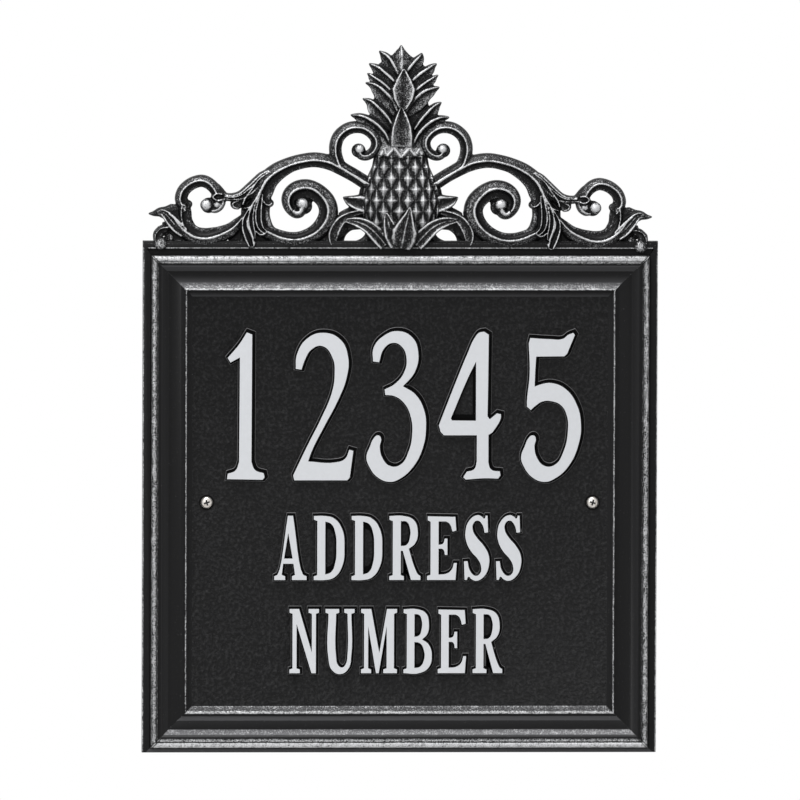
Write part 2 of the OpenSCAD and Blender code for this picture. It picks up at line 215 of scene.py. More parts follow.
# Shader maths: a wrapped socket adds Math nodes for the expressions it is used in
class Wire:
    def __init__(self, tree, socket):
        self.tree, self.socket = tree, socket

    def math(self, operation, other=0.0, swap=False, clamp=False):
        n = self.tree.nodes.new("ShaderNodeMath")
        n.operation, n.use_clamp = operation, clamp
        for k, value in enumerate((other, self) if swap else (self, other)):
            if isinstance(value, Wire):
                self.tree.links.new(value.socket, n.inputs[k])
            else:
                n.inputs[k].default_value = value
        return Wire(self.tree, n.outputs[0])

    def __add__(self, other):
        return self.math("ADD", other)

    def __radd__(self, other):
        return self.math("ADD", other, swap=True)

    def __sub__(self, other):
        return self.math("SUBTRACT", other)

    def __rsub__(self, other):
        return self.math("SUBTRACT", other, swap=True)

    def __mul__(self, other):
        return self.math("MULTIPLY", other)

    def __rmul__(self, other):
        return self.math("MULTIPLY", other, swap=True)

    def __truediv__(self, other):
        return self.math("DIVIDE", other)

    def __rtruediv__(self, other):
        return self.math("DIVIDE", other, swap=True)

    def least(self, other):
        return self.math("MINIMUM", other)

    def most(self, other):
        return self.math("MAXIMUM", other)

    def size(self):
        return self.math("ABSOLUTE")

    def clamped(self):
        return self.math("ADD", clamp=True)

    def step(self, low, high):
        # 0 up to low, 1 from high on, and a straight slope between them
        return ((self - low) / (high - low)).clamped()


class Nodes:
    def __init__(self, tree):
        self.tree = tree

    def node(self, kind, settings=None, inputs=None, output=0):
        n = self.tree.nodes.new("ShaderNode" + kind)
        for key, value in (settings or {}).items():
            if key == "stops":
                ramp = n.color_ramp
                while len(ramp.elements) < len(value):
                    ramp.elements.new(1.0)
                for e, (at, level) in zip(ramp.elements, value):
                    e.position, e.color = at, (level, level, level, 1)
            else:
                setattr(n, key, value)
        for key, value in (inputs or {}).items():
            if isinstance(value, Wire):
                self.tree.links.new(value.socket, n.inputs[key])
            else:
                n.inputs[key].default_value = value
        return Wire(self.tree, n.outputs[output]) if n.outputs else n


class Paint(Nodes):
    def __init__(self, name):
        self.material = bpy.data.materials.new(name)
        self.material.use_nodes = True
        super().__init__(self.material.node_tree)
        self.shader = self.tree.nodes["Principled BSDF"]

    def attribute(self, name):
        return self.node("Attribute", {"attribute_name": name}, output="Fac")

    def coordinates(self, scale=(1, 1, 1), turn=(0, 0, 0)):
        where = self.node("TexCoord", output="Object")
        return self.node("Mapping", inputs={"Vector": where, "Scale": scale, "Rotation": turn})

    def noise(self, size, detail=2.0, rough=0.55, scale=(1, 1, 1), turn=(0, 0, 0)):
        # size is the noise's grain in millimetres
        return self.node("TexNoise", inputs={"Vector": self.coordinates(scale, turn),
                                             "Scale": 1 / (size * mm), "Detail": detail, "Roughness": rough})

    def blend(self, mask, low, high):
        # colours mixed by a mask
        return self.node("Mix", {"data_type": "RGBA"}, {"Factor": mask, 6: low, 7: high}, output=2)

    def bump(self, height, distance):
        return self.node("Bump", inputs={"Height": height, "Distance": distance * mm, "Strength": 1.0})

    def feed(self, **inputs):
        names = {"color": "Base Color", "roughness": "Roughness", "metallic": "Metallic", "normal": "Normal",
                 "specular": "Specular IOR Level"}
        for key, value in inputs.items():
            socket = self.shader.inputs[names[key]]
            if isinstance(value, Wire):
                self.tree.links.new(value.socket, socket)
            else:
                socket.default_value = value
        return self.material


casting = {
    "black": (0.005, 0.005, 0.0053, 1),
    "fleck": (0.25, 0.252, 0.258, 1),
    "silver": (0.58, 0.585, 0.595, 1),
    # grey of the painted sheen on the frame's faces
    "sheenGrey": (0.20, 0.20, 0.21, 1),
    "roughBlack": 0.40,
    "roughSilver": 0.38,
    "metal": 0.35,
    "specular": 0.12,
    # noises: size in millimetres, detail and roughness
    "speck": (0.85, 3.0, 0.72),
    "patch": (4.5, 3.0, 0.55),
    "stroke": (1.3, 2.0, 0.6),
    "grain": (0.8, 3.0, 0.6),
    # how far they shift the wear
    "patchShift": 0.36,
    "strokeShift": 0.34,
    "speckShift": 1.0,
    "fleckShift": 2.2,
    "strokeTurn": 48,               # degrees
    "strokeStretch": (1, 1, 0.18),
    # wear at which the silver and its loose flecks start, and at which they are whole
    "silverAt": (0.62, 0.94),
    "flecksAt": (0.46, 0.84),
    "bump": 0.14,
}


def rubbedSilver(p, relief, sheenGrey=None):
    # silver wiped over black: solid on what stands proud, broken into flecks towards the hollows; on the
    # frame the level also holds painted highlights. The grey mask given last lays a smooth grey under it:
    # painted sheen
    speck = p.noise(*casting["speck"]) - 0.5
    patch = p.noise(*casting["patch"])
    stroke = p.noise(*casting["stroke"], casting["strokeStretch"],
                     (0, math.radians(casting["strokeTurn"]), 0))
    grain = p.noise(*casting["grain"])
    worn = relief + (patch - 0.5) * casting["patchShift"] + (stroke - 0.5) * casting["strokeShift"]
    silver = (worn + speck * casting["speckShift"]).step(*casting["silverAt"])
    flecks = (worn * 0.9 + speck * casting["fleckShift"]).step(*casting["flecksAt"])
    under = casting["black"] if sheenGrey is None else p.blend(sheenGrey, casting["black"], casting["sheenGrey"])
    color = p.blend(silver, p.blend(flecks, under, casting["fleck"]), casting["silver"])
    smoother = casting["roughSilver"] - casting["roughBlack"]
    roughness = silver * smoother + casting["roughBlack"] + (grain - 0.5) * 0.12
    return p.feed(color=color, metallic=silver * casting["metal"], specular=casting["specular"],
                  roughness=roughness, normal=p.bump(grain + patch * 0.8, casting["bump"]))


def crestPaint():
    p = Paint("crestPaint")
    return rubbedSilver(p, p.attribute("relief"))


# The crest's shapes, from its middle outwards and up from the top of the frame
frameTop = 183.0
crest = {
    "voxel": 0.52,
    "edge": 5.0,      # height of the scrolls' side edges
    "ridge": 6.5,     # height of their ridges above those edges
    # the berries lie beyond this place and below this height, and get this share of the silver
    "berries": (161, 9, 0.8),
    # how far the right half is shifted outwards and down from the mirror image of the left
    "shiftAt": [40, 60, 80, 110, 140, 160],
    "shiftOut": [0, 0.9, 0.9, 0.5, 0.0, 0.0],
    "shiftDown": [0, 0.4, 0.8, 1.4, 2.1, 2.1],
}
scrollSection = [(-1, 0.0), (-0.93, 0.28), (-0.75, 0.54), (-0.5, 0.70), (-0.26, 0.80), (-0.11, 0.91),
                 (0.0, 1.0), (0.10, 0.95), (0.22, 0.66), (0.36, 0.45), (0.56, 0.36), (0.78, 0.34),
                 (0.93, 0.36), (1, 0.2)]
leafSection = [(-1, 0.55), (-0.9, 0.9), (-0.76, 1.0), (-0.6, 0.86), (-0.35, 0.62), (-0.12, 0.66), (0, 0.84),
               (0.12, 0.66), (0.35, 0.62), (0.6, 0.86), (0.76, 1.0), (0.9, 0.9), (1, 0.55)]
flutedSection = [(-1, 0.35), (-0.82, 0.9), (-0.68, 1.0), (-0.5, 0.8), (-0.25, 0.45), (0, 0.35), (0.25, 0.45),
                 (0.5, 0.8), (0.68, 1.0), (0.82, 0.9), (1, 0.35)]
fluteSection = [(-1, 0.2), (-0.8, 0.75), (-0.5, 1.0), (-0.2, 0.85), (0.1, 0.45), (0.45, 0.30), (0.75, 0.5),
                (1, 0.2)]
flatSection = [(-1, 0), (1, 0)]
roofSection = [(-1, 0), (0, 1), (1, 0)]


def ridged(across, height):
    # a ridge with a shoulder on each side
    return [(-1, 0), (-across, height), (0, 1), (across, height), (1, 0)]


def flipped(section):
    return [(-a, h) for a, h in reversed(section)]


def outwards(points, side):
    # brings the crest's drawing to the frame, on the left or on the right, where the outer scrolls hang lower
    if side < 0:
        return [(-x, z + frameTop) for x, z in points]
    return [(x + float(np.interp(x, crest["shiftAt"], crest["shiftOut"])),
             z + frameTop - float(np.interp(x, crest["shiftAt"], crest["shiftDown"]))) for x, z in points]


class CrestSide:
    # draws bands and balls of the crest's drawing on the left side, -1, or the right side, 1
    def __init__(self, bm, side):
        self.bm, self.side = bm, side

    def band(self, path, left, right, section=scrollSection, lift=crest["ridge"], edge=crest["edge"]):
        if self.side < 0:  # the left is a mirror image, so the band's two sides change places
            left, right, section = right, left, flipped(section)
        addBand(self.bm, outwards(path, self.side), left, right, lift, section, edge)

    def rib(self, path, half, section, lift, edge):
        self.band(path, half, half, section, lift, edge)

    def web(self, path, left, right, edge):
        self.band(path, left, right, flatSection, 1.0, edge)

    def ball(self, at, r, front, flat=1.0):
        addBall(self.bm, outwards([at], self.side)[0], r, front, flat)


def smallScroll(c):
    # beside the fruit
    c.band([(22, 39.5), (26, 42), (32.6, 46), (37.9, 49), (42.6, 52.4), (44.9, 57.6), (45.9, 62.7),
            (45.6, 67.7), (43.7, 72.7), (40, 76.6), (35.3, 79), (30, 79.5), (25.3, 78.4), (20.9, 75.4),
            (17.9, 71.4), (17.3, 67.3), (18.8, 63.4), (22.2, 60.4), (25.7, 59.6), (28.4, 61), (29, 64)],
           [4.4, 4.6, 4.6, 4.6, 4.4, 3.8, 3.4, 2.6], [4.2, 4.1, 4.1, 4.2, 4.2, 4.0, 3.8, 3.6],
           flipped(scrollSection))
    c.ball((29.6, 63.2), 5.0, 9.0, 0.6)
    c.ball((28.9, 64.4), 3.5, 12.0)


def longScroll(c):
    # from the fruit, over the volute to the hook above the flutes
    c.band([(25, 40), (32.6, 45.2), (42.6, 51.2), (48.4, 54.3), (54, 55.9), (60, 56.6), (66.2, 56), (75, 54),
            (83.5, 50.6), (90, 46.6), (94.7, 42.1), (98.2, 35.9), (101.7, 29.4), (105.4, 24.6), (110, 22.6)],
           [4.2, 4.4, 4.8, 5.2, 5.2, 5.2, 5.2, 5.5, 5.5, 4.5, 2, 0.8],
           [4.1, 4.3, 4.8, 5.4, 5.2, 5.0, 5.4, 7, 8.6, 9.6, 5, 0.8],
           lift=[6.5, 6.5, 6.5, 6.5, 6.5, 6.8, 7.5, 7.5, 6.5])
    # neck down to the volute, and the second hook that turns over it
    c.band([(93, 40), (94.6, 32), (95.4, 24), (95.2, 16), (93.4, 9), (90, 4.5)], [3, 4.5, 4.5, 4, 3.4, 3.5],
           [3, 4.6, 4.2, 4, 4.6, 5], [(-1, 0), (-0.5, 0.5), (0.4, 1), (0.8, 0.9), (1, 0.3)], 3.0, 5.0)
    c.rib([(98.6, 39), (97.6, 34.2), (96.6, 29.2), (94.6, 26.0), (91.8, 25.2), (90, 27)],
          [1.0, 1.7, 2.0, 2.0, 2.0, 1.8], ridged(0.4, 0.6), 4.8, [6.5, 6.5, 6.5, 6.5, 6, 5.5])
    c.ball((91.4, 26.4), 2.9, 7.0, 0.5)


def armAndClasp(c):
    # arm to the clasp, with the lines that fan out of it
    c.band([(92, 48.6), (97, 45), (102, 40.2), (107.5, 35.2), (112.5, 31.8), (118, 30.5), (123.4, 31)],
           [2, 3.2, 3.4, 3.4, 3, 2.8, 2.6], [2, 4, 6, 7, 5.5, 3, 2.8],
           [(-1, 0.15), (-0.8, 0.6), (-0.5, 0.85), (-0.25, 0.6), (-0.05, 1.0), (0.12, 0.6), (0.35, 0.55),
            (0.5, 0.9), (0.65, 0.5), (0.85, 0.5), (1, 0.2)], 5.2, 5.8)
    c.rib([(100.6, 41.6), (103.4, 37.4), (106.6, 33.2), (109.2, 29.4), (110.6, 25.4)],
          [0.6, 1.4, 1.5, 1.6, 1.2], ridged(0.4, 0.7), 3.6, 7.6)
    c.rib([(108.6, 30.6), (111.6, 28.6), (115, 27.6), (117.6, 26), (116.4, 23.6), (113, 22.8)],
          [1.2, 1.4, 1.5, 1.5, 1.4, 1.0], ridged(0.4, 0.7), 3.4, 6.0)
    c.ball((113.4, 25.6), 3.2, 8.2, 0.6)

    # clasp, and the bud that hangs from it
    c.rib([(124.4, 29.2), (128.4, 28.5), (131.4, 30.8), (128.6, 33.2), (124.8, 32.8)], 1.3,
          ridged(0.4, 0.8), 4.2, 8.0)
    c.ball((127.2, 30.8), 2.6, 9.6, 0.7)
    c.band([(124.2, 30), (124.6, 26.8), (126.4, 23.6), (129.4, 21.6), (132.6, 21.2)],
           [1.4, 1.9, 2.1, 1.9, 1.0], [1.8, 2.4, 2.6, 2.4, 1.4], ridged(0.5, 0.8), 4.6, 6.0)
    c.ball((129.2, 24.9), 5.3, 9.4, 0.6)
    c.ball((134.2, 24.8), 5.5, 9.0, 0.6)
    c.ball((128.2, 25.6), 3.0, 11.0, 0.8)
    c.ball((136.0, 25.2), 4.2, 12.2, 0.9)


def largeVolute(c):
    # its ridge rolls up into the bulb in its eye
    c.band([(94, 7), (91, 5.6), (88.7, 4.5), (84.7, 2.7), (78.7, 1.3), (71.7, 1.2), (65.2, 3), (59.2, 6.2),
            (54.7, 10.7), (51.7, 16.2), (50.8, 21.7), (52.2, 26.9), (55.7, 31.9), (60.2, 35.7), (65.7, 37.5),
            (71.7, 36.8), (76.2, 34), (78.5, 29.7), (78.2, 25.2), (76.2, 21.7), (73.6, 19.5), (71, 19.4),
            (69.2, 21.2), (68.4, 24.4)], [5, 5.4, 5.6, 5.5, 6.2, 7.3, 6.8, 5.6, 5.4, 4.8, 3.8, 3.4],
           [4, 5, 5, 5.2, 5.8, 6.2, 6.4, 7.2, 7.6, 5.5, 3.4, 2.4])
    c.ball((70, 27.4), 8.4, 6.2, 0.3)
    c.ball((67.4, 24.2), 5.7, 8.6, 0.6)
    c.band([(75.6, 21.4), (73, 19.8), (70.8, 20.6), (69.6, 23), (69, 26)], [2, 2.6, 3, 3.2, 3],
           [2, 2.4, 2.6, 3, 3], ridged(0.5, 0.8), 4.6, 8.4)
    c.ball((69, 26), 4.3, 13.4)
    # web between the volute and the leaf that curls against it
    c.rib([(58, -1), (53, 3.4), (50, 9), (47.4, 15), (45, 21)], [3.6, 4, 4, 3.4, 1.6], flatSection, 1.0, 4.8)


def outerScroll(c):
    # its lower part runs on into the end leaf, and its upper part starts at a notch
    c.band([(110.5, 17), (113, 13.8), (116, 10.6), (120.4, 7.3), (128, 3.7), (135, 1.8), (142.5, 2.3),
            (148.4, 5), (153, 8.7), (156.5, 12.9), (159, 16.2), (162.2, 19)],
           [1.5, 3.4, 4.2, 5.4, 6.8, 7.2, 7.4, 8, 8, 6, 3], [1.5, 4.4, 5.6, 5.8, 5.8, 5.8, 5.4, 5, 4, 2.6, 2],
           flipped(scrollSection), 6.2)
    c.band([(150.5, 21), (152.8, 24.5), (154.6, 29.3), (153, 35), (149.4, 38.9), (144.6, 41.6), (139.2, 42.4),
            (134.6, 40.6), (131, 36.8), (128.8, 32.6)], [3.5, 5.8, 5.6, 5.2, 4.4, 3.0],
           [3, 3.2, 3.2, 3.4, 4.2, 5.2], flipped(scrollSection))
    c.band([(133, 38), (129.4, 36), (126, 33.2), (122.6, 30.8)], [1, 2.4, 3, 2], [4.6, 4.4, 3.8, 2.6],
           [(-1, 0.2), (-0.4, 0.7), (0, 0.9), (0.6, 0.7), (1, 0.1)], 4.0)
    # cheek between the two parts, and the hook its ridge ends in
    c.band([(151.6, 31), (151.2, 26), (151.0, 20), (150.4, 14), (148, 9)], [3, 5.6, 4.2, 4.6, 6],
           [2, 4, 5, 5, 5], [(-1, 0), (-0.4, 0.5), (0.4, 0.7), (1, 0.2)], 2.6, [5.4, 5.2, 5.2, 5.2, 5.2])
    c.ball((148.4, 25.6), 3.0, 7.0, 0.5)
    c.rib([(150.3, 23.0), (151.2, 25.2), (152.8, 24.6), (153.5, 21), (153.3, 16), (151.6, 11), (149.4, 8)],
          [1.2, 1.9, 1.7, 1.4, 1.3, 1.2, 0.6], ridged(0.4, 0.6), 4.2, [7, 8, 8, 7.6, 7.2, 6.8, 6])


def endLeaf(c):
    # with the berries under it
    c.band([(155.6, 22), (160, 21.2), (164.6, 20.6), (168.6, 20.4), (172.4, 19.2), (176.2, 18.9)],
           [3, 4.6, 3.4, 2.8, 1.6, 0.3], [3, 6, 6, 4.4, 2.4, 0.3], ridged(0.7, 0.7),
           2.4, [5, 5, 5, 5, 4.4, 3.4])
    c.band([(151, 5.4), (156.6, 10.2), (160.6, 14.6), (163.9, 18.3), (167, 20.2), (170.2, 19.6)],
           [3.6, 4.4, 4.4, 3.8, 2.6, 1.2], [3.6, 4.4, 4.4, 3.8, 2.8, 1.4],
           leafSection, [4, 4.4, 4.6, 4.6, 4.2, 2.6], [6.4, 6.8, 6.8, 6.6, 6.4, 6])
    c.band([(146, 3), (153, 3), (159, 5), (164, 9.4), (166, 13)], [4, 5, 5, 3, 0.4], [4, 4.6, 4.4, 2.6, 0.4],
           fluteSection, 3.4, [4, 5, 5, 4, 2])
    berries = [((167.8, -1.8), 4.6, 11.8), ((169.2, 4.8), 3.8, 9.6), ((165.2, 8.0), 3.0, 8.6),
               ((161.6, 2.6), 3.4, 8.4)]
    for at, r, front in berries:
        c.ball(at, r, front, 0.75)
    c.rib([(158, 8.6), (163, 9.6), (168, 8.6), (171.4, 4.6), (171.8, 0.2)], [1, 1.6, 1.8, 1.6, 0.8],
          ridged(0.4, 0.6), 3.2, [6.4, 7.6, 8.2, 8.4, 8.4])


def fallingFlutes(c):
    # flutes of the acanthus that fall over the flange, side by side, with raised edges
    c.rib([(97.4, 33), (98.6, 27), (99.6, 20), (99.4, 14), (97.8, 9.2), (94.4, 6.0)],
          [1.0, 1.8, 2.6, 2.8, 2.5, 1.5], flutedSection, 4.6, 7.6)
    c.rib([(100.4, 30.5), (103.2, 25), (104.8, 18), (104.6, 11.5), (103.2, 6), (102.3, 1.8)],
          [0.8, 1.5, 2.0, 2.3, 2.0, 0.8], flutedSection, 4.6, 7.8)
    c.rib([(103.5, 25.5), (107, 19.5), (109, 14.5), (108.9, 9.7), (107, 4.2), (105.4, 0), (104.2, -3.8)],
          [0.6, 1.4, 1.9, 2.3, 3.2, 3.4, 2.4], flutedSection, 4.4, 7.6)
    c.rib([(107.6, -0.6), (106.4, -3.2), (104.4, -4.3), (102.4, -3.0), (101.6, -0.4)], 0.9, ridged(0.4, 0.6),
          3.2, 8.2)
    c.rib([(101.2, 7), (98.6, 4.8), (95.4, 5), (93.4, 7.4)], [0.8, 1.5, 1.5, 0.8], ridged(0.4, 0.6), 3.6, 8.4)
    # webs behind the flutes, and those that close the corners over the flange
    c.web([(102, 36), (105, 30), (107.4, 23), (108.6, 15), (108.6, 6), (107.6, -3)],
          [2, 4, 3.6, 2.4, 3, 5], [3, 7, 9, 9, 9, 9], 5.6)
    c.web([(90, 1.6), (96, 2.2), (104, 2)], [4, 5, 5], [4, 5, 5], 5.2)
    c.web([(114, -4), (115, 3), (112, 13)], [6.5, 4, 1.5], [5, 5, 2], 4.6)
    c.web([(64, -2.5), (80, -3), (99, -2.5)], [4.5, 5, 7], 2.2, 4.8)
    c.web([(140, -3), (155, -2.6), (172, -3.2)], [5, 6, 5], 1.6, 4.8)


def buildScrolls(side, name):
    bm = bmesh.new()
    for draw in (smallScroll, longScroll, armAndClasp, largeVolute, outerScroll, endLeaf, fallingFlutes):
        draw(CrestSide(bm, side))
    obj = makePiece(name, bm, [paint["crest"]])
    remeshPiece(obj, crest["voxel"], 2)
    paintRelief(obj, 0.95, 7.0, 10.0, base=0.57)
    beyond, below, share = crest["berries"]
    for v, item in zip(obj.data.vertices, obj.data.attributes["relief"].data):
        if abs(v.co.x) > beyond * mm and v.co.z < (frameTop + below) * mm:
            item.value *= share
    return obj


def finishPiece(obj):
    for f in obj.data.polygons:
        f.use_smooth = True
    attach(obj, "root")
    return obj


# Crown of leaves over the fruit: each leaf follows its bright ridge, from the root to the tip
crown = {
    "voxel": 0.5,
    "back": 1.4,
    "section": [(-1, 0.1), (-0.6, 0.55), (-0.2, 0.94), (0, 1), (0.13, 0.9), (0.22, 0.55), (0.36, 0.36),
                (0.62, 0.3), (0.85, 0.22), (1, 0.1)],
    "folded": [(-1, 0.5), (-0.86, 1.0), (-0.62, 0.84), (-0.25, 0.5), (0, 0.28), (0.25, 0.5), (0.62, 0.84),
               (0.86, 1.0), (1, 0.5)],
    "wedge": [(-1, 0.1), (-0.6, 0.5), (-0.2, 0.85), (0, 1), (0.2, 0.85), (0.6, 0.5), (1, 0.1)],
    # along a leaf: share of its widths, and share of its ridge's height
    "widths": [0.4, 0.8, 1, 1, 0.9, 0.62, 0.08],
    "lifts": [0.85, 1, 1, 1, 0.95, 0.8, 0.5],
    "middleLifts": [0.7, 1, 1, 0.9, 0.7],
    # the skin behind the leaves: (height, half width)
    "skin": [(58, 13), (64, 14), (72, 19), (79, 20.4), (90, 20.6), (99, 18.6), (110, 19), (118, 19.4),
             (124, 15), (128, 8.6), (129.8, 6.1), (132, 4), (134, 2.4)],
    # ridge line, width above it and below it, height of the edges, and of the ridge above them
    "left": [
        ([(-1, 114), (-3.7, 120.6), (-6.6, 125.9), (-9.7, 129.5), (-13.4, 131.9), (-15.2, 132.8)],
         2.2, 7.5, 3.2, 4.2),
        ([(-1.5, 107), (-5.4, 112.5), (-10.9, 117.6), (-15.4, 121.2), (-19.6, 123.1), (-22.3, 124)],
         2.2, 7.5, 3.6, 4.4),
        ([(-5, 103), (-10.5, 108.6), (-15.4, 112.4), (-19.5, 115), (-22, 116.6), (-23.6, 117)],
         1.8, 6.0, 4.0, 3.4),
        ([(-1.5, 88), (-3.7, 94.4), (-6, 99.1), (-9.7, 103.2), (-14.2, 107.3), (-18.9, 109.9), (-22.6, 110.5),
          (-24.8, 110.7)], 2.0, 9.0, 4.4, 4.8),
        ([(-5, 78), (-7.8, 84.5), (-11.3, 89.2), (-15.9, 93.9), (-20.6, 97.9), (-24.6, 99.2), (-26.7, 99.6)],
         2.0, 8.5, 5.0, 5.2),
        ([(-8, 68), (-10.1, 74), (-13, 78.1), (-17.1, 82.2), (-21.8, 85.3), (-27, 87.5), (-32.4, 88.2),
          (-35.1, 88)], 2.2, 8.5, 5.6, 5.6),
    ],
    "right": [
        ([(2, 114.5), (5, 120.2), (9.1, 125.4), (12.6, 128.8), (14.6, 131.4)], 2.2, 7.5, 3.2, 4.2),
        ([(3.5, 107.5), (7.4, 112), (12.6, 116.7), (18.5, 120.7), (22.6, 123.1), (25.1, 123.8)],
         2.2, 7.5, 3.6, 4.4),
        ([(6, 101), (10.3, 105.5), (16, 110.2), (21, 113.4), (24.4, 115.4), (26.2, 116)], 1.8, 6.0, 4.0, 3.4),
        ([(2, 87), (4.5, 93.4), (9.1, 99.2), (15, 104.4), (20.6, 106.6), (24.6, 107.4), (27, 107.6)],
         2.2, 9.0, 4.4, 4.8),
        ([(9, 78), (13.8, 85.2), (18.5, 90.5), (22.6, 94.4), (26, 96.3), (28.4, 97)], 2.0, 8.0, 5.0, 5.2),
        ([(8, 66), (9.7, 71.2), (13.2, 77), (19.1, 82.8), (24.9, 85.8), (30, 86.8), (34, 86.6)],
         2.2, 8.5, 5.6, 5.6),
    ],
    # middle leaves, each in front of the one above: line, half width, heights as before, and section
    "middle": [
        ([(0, 113), (0.2, 119), (0.4, 125), (0.3, 131), (0.1, 136.8)], [2, 5.6, 6.2, 4, 0.3],
         5.0, 3.4, "wedge"),
        ([(1.2, 92), (1.4, 99), (1.6, 106), (1.7, 113), (1.8, 120.3)], [2, 7, 8.6, 5.4, 0.2],
         7.6, 3.8, "folded"),
        ([(0, 66), (0.1, 73), (0.2, 80), (0.1, 87), (-0.1, 93.8)], [7.8, 8.2, 7.0, 4.4, 0.2],
         10.4, 5.0, "folded"),
    ],
}


def buildCrown():
    bm = bmesh.new()
    rows = range(crown["skin"][0][0], crown["skin"][-1][0] + 1)
    half = [tableValue(crown["skin"], z) for z in rows]
    addBand(bm, outwards([(0, z) for z in rows], 1), half, half, 1.0,
            [(-1, 0), (-0.6, 1), (0, 2), (0.6, 1), (1, 0)], 3.0)
    for side, leaves in ((-1, crown["left"]), (1, crown["right"])):
        for path, upper, lower, edge, rise in leaves:
            up = [upper * w for w in crown["widths"]]
            down = [lower * w for w in crown["widths"]]
            section = crown["section"]
            if side < 0:
                up, down, section = down, up, flipped(section)
            addBand(bm, outwards(path, 1), up, down, [rise * v for v in crown["lifts"]], section,
                    [edge] * 5 + [edge * 0.8])
    for path, half, edge, rise, section in crown["middle"]:
        addBand(bm, outwards(path, 1), half, half, [rise * v for v in crown["middleLifts"]], crown[section],
                [edge] * 4 + [edge * 0.9])
    moveBack(bm, crown["back"])
    obj = makePiece("crownLeaves", bm, [paint["crest"]])
    remeshPiece(obj, crown["voxel"], 1)
    paintRelief(obj, 0.66, 2.0, 5.5, base=0.61)
    return obj


# The fruit: a rounded front covered in four-sided pointed scales
fruit = {
    # rows of (height, half width), and of (height, how far the middle stands out)
    "outline": [(-4, 15), (4, 21), (12, 25), (20, 26.8), (28, 27.2), (36, 26), (46, 22.4), (52, 19.6),
                (57, 17.8), (64, 16), (69, 13)],
    "depth": [(-4, 8), (4, 12), (12, 15.6), (20, 18.6), (28, 20.0), (40, 19.2), (57, 16.0), (62, 14.6),
              (66, 11), (69, 6)],
    "edge": 5.0,
    "back": 1.8,
    "roundness": 0.75,             # 1 would give an ellipse, less a fuller front
    "scaleWide": 11.7,
    "scaleTall": 15.4,
    "middleScale": (-1.4, 36.3),   # middle of one scale
    "scaleRise": 2.6,
    "scaleSunk": 0.6,              # share of the rise that lies under the fruit's outline
    "scaleSpread": 0.25,           # share of the rise that also goes to the side
    "scaleHollow": 0.66,           # 1 would give flat faces
    "scaleNarrow": 1.45,
    "scalesEnd": 62.5,
    "topFade": 3,                  # height over which they end
    "sideFade": 1.6,
    "starsEnd": 57.5,              # height up to which the silver follows the scales' stars
    "rimFrom": 60,                 # height from which the top is well rubbed, at least by rimSilver
    "rimSilver": 0.66,
    "starSilver": (0.60, 0.48),    # silver at the middle height of a star, and how much its height adds
    "reliefShare": 0.6,            # share of the plain relief's silver on the stars
    "sideSilver": (1.3, 0.4),      # share of it in the middle, kept to 1, and what is lost towards the side
    # line of points round the top of the fruit: half its width, its ridge, and the height of its edges in the
    # middle, which falls off by the square of the way to the side over zigzagBow
    "zigzagHalf": 2.0,
    "zigzagRise": 2.6,
    "zigzagEdge": 14.8,
    "zigzagBow": 600,
    "zigzag": [(-14.5, 60), (-11.8, 64.8), (-10.2, 59.8), (-5.2, 65.6), (-0.3, 58.9), (5.3, 65.2), (9.8, 60),
               (12.4, 64.6), (14.4, 60.4)],
}


def scaleHeight(across, z):
    # four-pointed star: ridges up, down and to the sides, with hollow faces between them
    a = (across - fruit["middleScale"][0]) / fruit["scaleWide"]
    b = (z - fruit["middleScale"][1]) / fruit["scaleTall"]
    power = fruit["scaleHollow"]
    best = -0.5
    for half in (0, 0.5):  # every other row of scales is half a scale to the side
        u, w = abs(a + half - round(a + half)), abs(b + half - round(b + half))
        best = max(best, 1 - 2 * ((u * fruit["scaleNarrow"]) ** power + w ** power) ** (1 / power))
    return best


